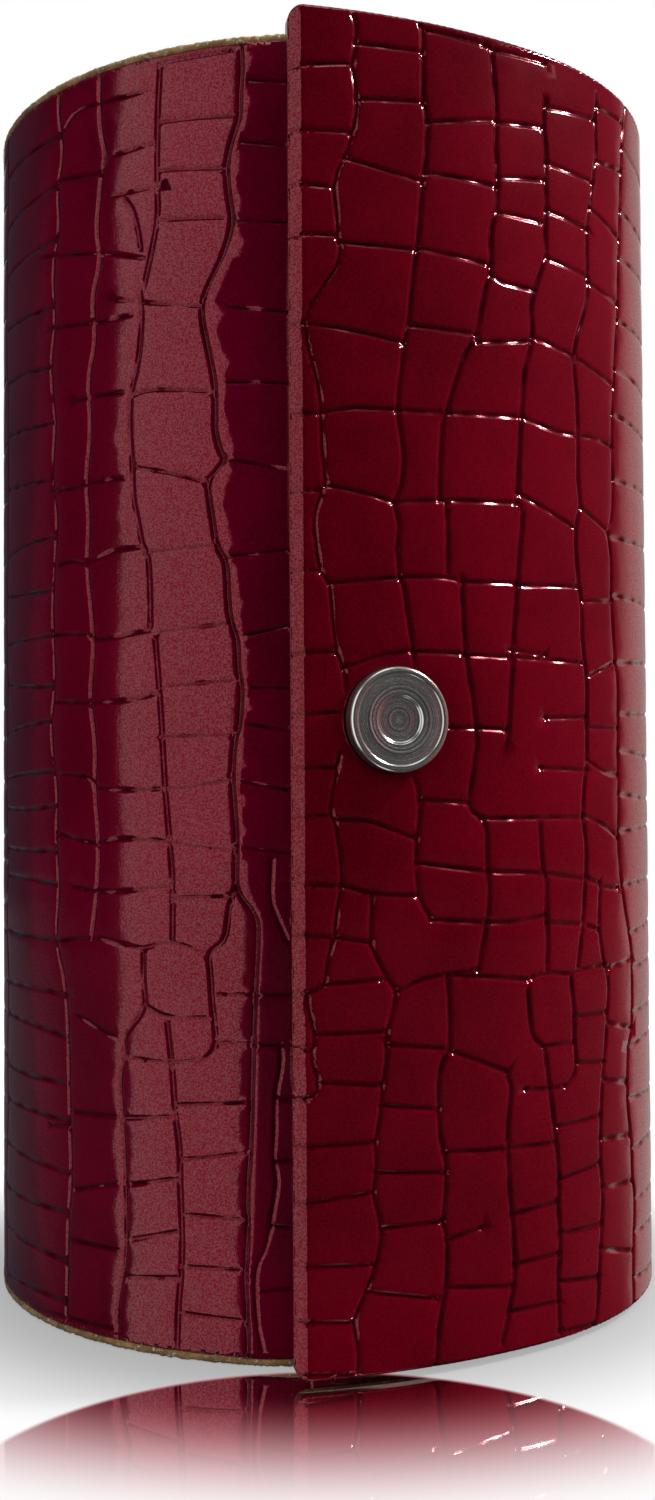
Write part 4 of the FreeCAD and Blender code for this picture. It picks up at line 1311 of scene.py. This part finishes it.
def place_of(tree):
    """A point's place on the object, in metres."""
    return add(tree, "TexCoord").outputs["Object"]


def grain(tree, scale, detail, rough, stretch=(1, 1, 1)):
    """Noise from 0 to 1 over the object, scale features in a metre."""
    mapped = add(tree, "Mapping", {"Vector": place_of(tree), "Scale": stretch}).outputs[0]
    inputs = {"Vector": mapped, "Scale": scale, "Detail": detail, "Roughness": rough}
    return add(tree, "TexNoise", inputs).outputs["Fac"]


def calc(tree, operation, a, b=0.0):
    return add(tree, "Math", {0: a, 1: b}, operation=operation).outputs[0]


def plus(tree, a, b):
    return calc(tree, "ADD", a, b)


def minus(tree, a, b):
    return calc(tree, "SUBTRACT", a, b)


def times(tree, a, b):
    return calc(tree, "MULTIPLY", a, b)


def between(tree, value, low, high, to_low=0.0, to_high=1.0):
    """A value mapped smoothly from one range to another."""
    inputs = {"Value": value, "From Min": low, "From Max": high, "To Min": to_low, "To Max": to_high}
    return add(tree, "MapRange", inputs, interpolation_type="SMOOTHSTEP").outputs["Result"]


def patches(tree, noise_kind, low, high, to_low=0.0, to_high=1.0):
    """Noise of a (scale, detail, roughness, stretch) with one range of it spread over another."""
    return between(tree, grain(tree, *noise_kind), low, high, to_low, to_high)


def blend_colour(tree, factor, a, b):
    return add(tree, "Mix", {0: factor, 6: a, 7: b}, data_type="RGBA").outputs[2]


def stored(tree, name):
    return add(tree, "Attribute", attribute_name=name).outputs["Fac"]


def bumped(tree, height, distance, normal=None):
    """A bump of a distance in millimetres, on top of another one."""
    inputs = {"Height": height, "Distance": distance * MM, "Strength": 1.0}
    if normal is not None:
        inputs["Normal"] = normal
    return add(tree, "Bump", inputs).outputs["Normal"]


def shade(colour, share=1.0):
    """A share of a colour, solid."""
    return (*(share * part for part in colour), 1.0)


def leatherette(name, body, dark, worn_ends):
    """Glossy patent skin: deep red with darker grooves (partly darker dye, partly painted shade in the
    hollows), a fine grain and a clear coat.
    """
    material, tree = new_material(name)
    groove = stored(tree, "groove")
    mottle = plus(tree, times(tree, patches(tree, (55, 4, 0.6), 0.3, 0.7), 0.5),
                  patches(tree, (3300, 2, 0.7), 0.43, 0.57, 0, 0.5))
    tone = blend_colour(tree, mottle, shade(body, 0.66), shade(body, 1.28))
    # Grooves mixed towards the dark colour: partly darker dye, partly painted shade where the hollows are
    # occluded
    tone = blend_colour(tree, times(tree, groove, 0.95), tone, shade(dark))
    if worn_ends:
        from_middle = calc(tree, "ABSOLUTE", minus(tree, stored(tree, "height"), MIDDLE))
        near_end = between(tree, minus(tree, MIDDLE, from_middle), 5.5, 1.0)
        worn = times(tree, times(tree, near_end, patches(tree, (30, 3, 0.6), 0.52, 0.66)), 0.75)
        tone = blend_colour(tree, worn, tone, (0.24, 0.05, 0.025, 1))
    peel = bumped(tree, grain(tree, 420, 2, 0.5), 0.010)
    peel = bumped(tree, grain(tree, 1300, 2, 0.6, (1, 1, 0.12)), 0.004, peel)
    peel = bumped(tree, grain(tree, 900, 3, 0.6), 0.006, peel)
    pores = bumped(tree, grain(tree, 3600, 2, 0.6), 0.0045, peel)
    gloss = minus(tree, 1.0, times(tree, calc(tree, "POWER", groove, 2.0), 0.8))
    gloss = times(tree, gloss, patches(tree, (4300, 2, 0.7), 0.43, 0.57, 0.14, 1.0))
    surface(tree, Base_Color=tone, Roughness=0.16, IOR=1.8, Specular_IOR_Level=0.5,
            Specular_Tint=(1.0, 0.02, 0.07, 1), Normal=peel, Coat_Weight=gloss, Coat_Roughness=0.04,
            Coat_IOR=1.46, Coat_Normal=pores)
    return material


flap_leather = leatherette("flap_leatherette", (0.108, 0.0, 0.006), (0.008, 0.0, 0.002), False)
case_leather = leatherette("case_leatherette", (0.135, 0.0, 0.014), (0.010, 0.0, 0.002), True)
end_leather = leatherette("end_leatherette", (0.135, 0.0, 0.014), (0.010, 0.0, 0.002), False)
hinge_skin = leatherette("hinge_leatherette", (0.12, 0.0, 0.008), (0.02, 0.0, 0.003), False)


def layered(name, base, dark, light, layers, bumps, **inputs):
    """A material of two tones mixed by noise, coloured layers over them, and bumps (noise, distance).

    base and the first part of each layer hold what patches is called with.
    """
    material, tree = new_material(name)
    tone = blend_colour(tree, patches(tree, *base), shade(dark), shade(light))
    for layer, colour in layers:
        tone = blend_colour(tree, patches(tree, *layer), tone, shade(colour))
    normal = None
    for noise_kind, distance in bumps:
        normal = bumped(tree, grain(tree, *noise_kind), distance, normal)
    surface(tree, Base_Color=tone, Normal=normal, **inputs)
    return material


def velvet(name, dark, light):
    """Short pile with its nap brushed unevenly."""
    half_dark = [0.5 * part for part in dark]
    return layered(name, ((110, 4, 0.6), 0.25, 0.75), dark, light,
                   [(((2600, 2, 0.6), 0.3, 0.7, 0.0, 0.35), half_dark)],
                   [((3400, 3, 0.7), 0.05), ((130, 3, 0.5), 0.10)], Roughness=0.9, Specular_IOR_Level=0.2,
                   Sheen_Weight=0.55, Sheen_Roughness=0.35, Sheen_Tint=(0.9, 0.35, 0.42, 1))


def card(name, dark, light, stretch):
    """Layered board with dark specks."""
    ply = (700, 4, 0.65, stretch)
    return layered(name, (ply, 0.3, 0.7), dark, light,
                   [(((2400, 2, 0.6), 0.62, 0.7), [0.45 * part for part in dark])],
                   [(ply, 0.06)], Roughness=0.88)


def uneven(tree, roughness):
    """Roughness that varies a little in patches."""
    return patches(tree, (420, 3, 0.6), 0.3, 0.7, 0.8 * roughness, 1.25 * roughness)


def metal(name, colour, roughness, scratch, stretch=(1, 1, 1)):
    """Stained and scratched metal."""
    material, tree = new_material(name)
    tone = blend_colour(tree, patches(tree, (170, 4, 0.6), 0.3, 0.7), shade(colour, 0.86), shade(colour))
    normal = bumped(tree, grain(tree, 1500, 3, 0.6, stretch), scratch)
    surface(tree, Base_Color=tone, Roughness=uneven(tree, roughness), Normal=normal, Metallic=1.0)
    return material


def turned_metal(name, colour, roughness):
    """Metal with the rings of a lathe round its own axis."""
    material, tree = new_material(name)
    flat = add(tree, "VectorMath", {0: place_of(tree), 1: (1, 1, 0)}, operation="MULTIPLY").outputs[0]
    radius = add(tree, "VectorMath", {0: flat}, operation="LENGTH").outputs["Value"]
    inputs = {"W": radius, "Scale": 3600, "Detail": 2.0}
    rings = add(tree, "TexNoise", inputs, noise_dimensions="1D").outputs["Fac"]
    tone = blend_colour(tree, between(tree, rings, 0.36, 0.64), shade(colour, 0.52), shade(colour, 1.12))
    way = add(tree, "Tangent", direction_type="RADIAL", axis="Z").outputs["Tangent"]
    surface(tree, Base_Color=tone, Roughness=uneven(tree, roughness), Normal=bumped(tree, rings, 0.003),
            Metallic=0.89, Tangent=way, Anisotropic=0.55)
    return material


def moulded(name, colour, roughness):
    """Moulded plastic, slightly uneven."""
    material, tree = new_material(name)
    tone = blend_colour(tree, grain(tree, 300, 3, 0.6), shade(colour, 0.85), shade(colour))
    surface(tree, Base_Color=tone, Roughness=roughness, Normal=bumped(tree, grain(tree, 3000, 2, 0.5), 0.012))
    return material


def sanded_wood():
    """Beech along the height, with its rings and short flecks."""
    material, tree = new_material("beech_wood")
    rings = grain(tree, 420, 4, 0.6, (1, 1, 0.045))
    bend = grain(tree, 60, 3, 0.6, (1, 1, 0.15))
    figure = calc(tree, "FRACT", plus(tree, times(tree, rings, 3.0), bend))
    tone = blend_colour(tree, between(tree, figure, 0.2, 0.9), (0.62, 0.41, 0.24, 1), (0.78, 0.58, 0.38, 1))
    fleck = patches(tree, (1500, 2, 0.6, (1, 1, 0.12)), 0.6, 0.72, 0.0, 0.6)
    tone = blend_colour(tree, fleck, tone, (0.45, 0.26, 0.13, 1))
    surface(tree, Base_Color=tone, Roughness=0.5, Normal=bumped(tree, rings, 0.05))
    return material


def open_foam():
    """Foam with open cells."""
    material, tree = new_material("foam_cells")
    cells = add(tree, "TexVoronoi", {"Vector": place_of(tree), "Scale": 1300}).outputs["Distance"]
    tone = blend_colour(tree, cells, (0.62, 0.58, 0.46, 1), (0.86, 0.83, 0.74, 1))
    surface(tree, Base_Color=tone, Roughness=0.95, Normal=bumped(tree, cells, 0.3))
    return material


# Tan cotton cloth, cut and frayed, with rusty patches and pale flecks
rim_cloth = layered("raw_cloth_edge", ((240, 4, 0.6), 0.35, 0.65), (0.24, 0.12, 0.035), (0.48, 0.28, 0.10),
                    [(((42, 3, 0.6), 0.56, 0.68, 0.0, 0.75), (0.16, 0.04, 0.015)),
                     (((1700, 3, 0.7), 0.56, 0.68), (0.72, 0.64, 0.50))],
                    [((2600, 4, 0.7), 0.09)], Roughness=0.92, Sheen_Weight=0.25, Sheen_Roughness=0.5)
case_velvet = velvet("lining_velvet", (0.105, 0.005, 0.018), (0.155, 0.009, 0.027))
roll_velvet = velvet("roll_velvet", (0.12, 0.006, 0.021), (0.18, 0.011, 0.032))
nickel = turned_metal("turned_nickel", (0.72, 0.705, 0.67), 0.20)
plated = metal("plated_nickel", (0.56, 0.55, 0.53), 0.24, 0.002)
zinc = metal("zinc_steel", (0.6, 0.6, 0.6), 0.32, 0.006, (1, 1, 0.1))
magnet = metal("magnet_plate", (0.34, 0.34, 0.35), 0.38, 0.003)
board = card("grey_board", (0.27, 0.22, 0.15), (0.42, 0.36, 0.27), (1, 1, 0.25))
tube_card = card("kraft_tube", (0.42, 0.31, 0.18), (0.6, 0.47, 0.3), (0.4, 0.4, 1.4))
black_plastic = moulded("socket_plastic", (0.06, 0.052, 0.052), 0.38)
pale_plastic = moulded("bush_plastic", (0.8, 0.79, 0.74), 0.35)
beech = sanded_wood()
foam = open_foam()

# Pieces, the nodes they stand for and the bodies that carry them
finished(flap_cover, "flap", flap_leather, "croc_leatherette", "flap_cover")
finished(case_cover, "case", case_leather, "croc_leatherette", "case_cover")
finished(front_turn_in, "case", end_leather, "croc_leatherette")
finished(edge_velvet, "case", case_velvet, "velvet_lining")
finished(bottom_cover, "case", end_leather, "croc_leatherette", "bottom_end_cover")
finished(top_cover, "case", end_leather, "croc_leatherette", "top_end_cover")
for piece in rims:
    finished(piece, "case", rim_cloth, "raw_backing")
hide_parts("case_backing")
finished(hinge_leather, None, hinge_skin, "hinge_leatherette", "hinge_leather")
finished(hinge_cloth, None, case_velvet, "velvet_lining", "hinge_lining")
case_side = at(BODY_RADIUS * MM, BODY_HINGE_ANGLE)
flap_side = at(BODY_RADIUS * MM, FLAP_HINGE_ANGLE)
for piece in (hinge_leather, hinge_cloth):
    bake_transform(piece)
finished(case_lining, "case", case_velvet, "velvet_lining", "case_lining")
finished(flap_lining, "flap", case_velvet, "velvet_lining", "flap_lining")
for piece, node, support in ((bottom_lining, "bottom_end_lining", "bottom_end_board"),
                             (top_lining, "top_end_lining", "top_end_board")):
    finished(piece, "case", case_velvet, "velvet_lining", node)
finished(roll, "roll", roll_velvet, "roll_velvet", "roll_cover")
finished(cap, "flap", nickel, "nickel", "snap_cap")

NODE_MATERIALS = (
    (board, "case_board bottom_end_board top_end_board flap_board"),
    (plated, "striker_plate striker_washer magnet_cup"),
    (zinc, "snap_rivet socket_screws"),
    (magnet, "snap_magnet"),
    (black_plastic, "bottom_rod_socket top_rod_socket"),
    (pale_plastic, "bottom_roll_bush top_roll_bush"),
    (beech, "rod bottom_roll_plug top_roll_plug"),
    (foam, "roll_foam"),
    (tube_card, "roll_tube"),
)
for material, names in NODE_MATERIALS:
    for node in (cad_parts[name] for name in names.split()):
        if not node.material_slots:
            node.data.materials.append(material)
        for slot in node.material_slots:
            slot.link = "OBJECT"
            slot.material = material

# Floor: pale and glossy, with a mirror patch in front of the object, a painted contact shadow round the
# object's foot and a painted pink reflection fading out of the patch; its material's distances are in metres
FLOOR_LEVEL = -0.05
FLOOR_RADIUS = 900.0
FLOOR_SIDES = 96
PATCH_CENTRE = (0, -0.0947, 0)
PATCH_EDGE = (0.0432, 0.0418)
# Distances over which the painted pink reflection in the patch turns to white
REFLECTION_TINT_RUN = (0.060, 0.103)


def grey(tree, value):
    """A grey colour from a number."""
    return add(tree, "CombineColor", {0: value, 1: value, 2: value}).outputs[0]


floor_points = [(x, y, FLOOR_LEVEL) for x, y in [(0, 0)] + ring_points((0, 0), (FLOOR_RADIUS,), FLOOR_SIDES)]
floor = new_object("floor", floor_points, [[0, k + 1, (k + 1) % FLOOR_SIDES + 1] for k in range(FLOOR_SIDES)])
floor_material, tree = new_material("pale_floor")
away = add(tree, "VectorMath", {0: place_of(tree)}, operation="LENGTH").outputs["Value"]
patch = add(tree, "VectorMath", {0: place_of(tree), 1: PATCH_CENTRE}, operation="DISTANCE").outputs["Value"]
front = between(tree, patch, *PATCH_EDGE)
shine = times(tree, between(tree, away, 0.060, 0.100, 0.995, 0.0), front)
# Emission darker close to the object's foot: a painted contact shadow, rising to white further out
glow_with_painted_shadow = plus(tree, between(tree, away, 0.050, 0.085, 0.38, 0.84), between(tree, away, 0.085, 0.30, 0.0, 0.24))
seen = add(tree, "LightPath").outputs
lit = minus(tree, 1.0, times(tree, seen["Is Diffuse Ray"], 0.8))
albedo = times(tree, between(tree, away, 0.10, 0.55, 0.15, 0.05), lit)
albedo = times(tree, albedo, minus(tree, 1.0, front))
# Pink emission in the mirror patch, turning white further out: a painted reflection of the red box where the
# mirror fades
painted_reflection_tint = add(tree, "CombineColor", {part: between(tree, away, *REFLECTION_TINT_RUN, low, 1.0)
                                  for part, low in enumerate((0.80, 0.12, 0.18))}).outputs[0]
plain = calc(tree, "MAXIMUM", seen["Is Camera Ray"],
             calc(tree, "MAXIMUM", seen["Is Glossy Ray"], seen["Is Transmission Ray"]))
matt = add(tree, "BsdfDiffuse", {"Color": grey(tree, albedo)})
light = add(tree, "Emission", {"Color": blend_colour(tree, front, grey(tree, glow_with_painted_shadow), painted_reflection_tint), "Strength": plain})
both = add(tree, "AddShader", {0: matt.outputs[0], 1: light.outputs[0]})
open_air = add(tree, "BsdfTransparent")
faint = times(tree, seen["Is Glossy Ray"], 0.97)
both = add(tree, "MixShader", {0: faint, 1: both.outputs[0], 2: open_air.outputs[0]})
mirror = add(tree, "BsdfGlossy", {"Color": (1, 1, 1, 1), "Roughness": 0.03})
mixed = add(tree, "MixShader", {0: shine, 1: both.outputs[0], 2: mirror.outputs[0]})
add(tree, "OutputMaterial", {"Surface": mixed.outputs[0]})
floor.data.materials.append(floor_material)

# World: white to the camera, a studio to reflections, and soft light from the right. Each lobe of the
# studio is its colour, its plan angle and elevation, and how far a ray faces it where it starts and is full
STUDIO = (
    ((0.42, 0.31, 0.29), (160, 0), 0.74, 0.92),
    ((0.35, 0.35, 0.35), (0, 90), 0.80, 0.95),
    ((0.12, 0.002, 0.018), (-98, 0), 0.900, 0.925),
    ((0.24, 0.008, 0.020), (102, 5), 0.58, 0.95),
    ((0.020, 0.022, 0.036), (-138, 0), 0.75, 0.92),
    ((0.50, 0.47, 0.46), (180, 22), 0.93, 0.98),
)
STUDIO_BLACK = (0.008, 0.008, 0.009)

world = bpy.data.worlds.new("studio")
bpy.context.scene.world = world
world.use_nodes = True
tree = world.node_tree
tree.nodes.clear()
direction = add(tree, "TexCoord").outputs["Generated"]


def facing(azimuth, elevation=0.0):
    """How far a ray of the world runs towards a plan angle and elevation, from -1 to 1."""
    x, y = at(math.cos(math.radians(elevation)), azimuth)
    to = (float(x), float(y), math.sin(math.radians(elevation)))
    return add(tree, "VectorMath", {0: direction, 1: to}, operation="DOT_PRODUCT").outputs["Value"]


soft = plus(tree, between(tree, facing(112, 16), -0.6, 1.0, 0.0, 1.66),
            between(tree, facing(-8, 8), 0.2, 1.0, 0.0, 0.36))
reflected = STUDIO_BLACK
for tint, toward, low, high in STUDIO:
    lobe = add(tree, "VectorMath", {0: tint, "Scale": between(tree, facing(*toward), low, high)},
               operation="SCALE").outputs[0]
    reflected = add(tree, "VectorMath", {0: lobe, 1: reflected}, operation="ADD").outputs[0]
path = add(tree, "LightPath").outputs
cool = blend_colour(tree, between(tree, facing(-80), 0.2, 0.9), (1, 1, 1, 1), (0.45, 0.5, 1.0, 1))
diffuse_light = add(tree, "Background", {"Color": cool, "Strength": soft})
gloss_light = add(tree, "Background", {"Color": reflected, "Strength": 1.0})
white = add(tree, "Background", {"Color": (1, 1, 1, 1), "Strength": 1.0})
mirrored = calc(tree, "MAXIMUM", path["Is Glossy Ray"], path["Is Transmission Ray"])
inner = add(tree, "MixShader", {0: mirrored, 1: diffuse_light.outputs[0], 2: gloss_light.outputs[0]})
outer = add(tree, "MixShader", {0: path["Is Camera Ray"], 1: inner.outputs[0], 2: white.outputs[0]})
add(tree, "OutputWorld", {"Surface": outer.outputs[0]})


def softbox(name, azimuth, elevation, distance, width, height, radiance, diffuse=1.0):
    """A square lamp that looks at the middle of the object; distances in metres."""
    lamp = bpy.data.lights.new(name, "AREA")
    lamp.shape = "RECTANGLE"
    lamp.size = width
    lamp.size_y = height
    lamp.energy = math.pi * width * height * radiance
    lamp.diffuse_factor = diffuse
    holder = bpy.data.objects.new(name, lamp)
    bpy.context.scene.collection.objects.link(holder)
    level = math.radians(elevation)
    x, y = at(distance * math.cos(level), azimuth)
    middle = Vector((0, 0, MIDDLE * MM))
    holder.location = (x, y, middle.z + distance * math.sin(level))
    holder.rotation_euler = (middle - holder.location).to_track_quat("-Z", "Y").to_euler()
    holder.visible_camera = False


softbox("left_softbox", -47, 3, 1.0, 0.88, 2.0, radiance=1.10, diffuse=0.05)
softbox("right_glint", 93, 42, 1.0, 0.11, 0.11, radiance=230.0, diffuse=0.06)
softbox("top_softbox", 20, 80, 1.1, 0.5, 0.5, radiance=1.2)

# Camera
lens = bpy.data.cameras.new("photo_camera")
lens.sensor_fit = "VERTICAL"
lens.sensor_height = 36.0
lens.lens = FOCAL_PX * lens.sensor_height / PHOTO_SIZE[1]
lens.shift_x = (PHOTO_SIZE[0] / 2 - CENTRE_PX[0]) / PHOTO_SIZE[1]
lens.shift_y = (CENTRE_PX[1] - PHOTO_SIZE[1] / 2) / PHOTO_SIZE[1]
lens.clip_start = 0.01
camera = bpy.data.objects.new("photo_camera", lens)
bpy.context.scene.collection.objects.link(camera)
ahead = Vector((0, math.cos(PITCH), math.sin(PITCH)))
level_right = Vector((1, 0, 0))
level_up = Vector((0, -math.sin(PITCH), math.cos(PITCH)))
right = math.cos(ROLL) * level_right + math.sin(ROLL) * level_up
up = math.cos(ROLL) * level_up - math.sin(ROLL) * level_right
facing_axes = Matrix((right, up, -ahead)).transposed().to_4x4()
camera.matrix_world = Matrix.Translation(Vector(CAMERA_AT) * MM) @ facing_axes
bpy.context.scene.camera = camera
bpy.context.scene.view_settings.view_transform = "Standard"

# Brings the scene up to date
bpy.context.view_layer.update()
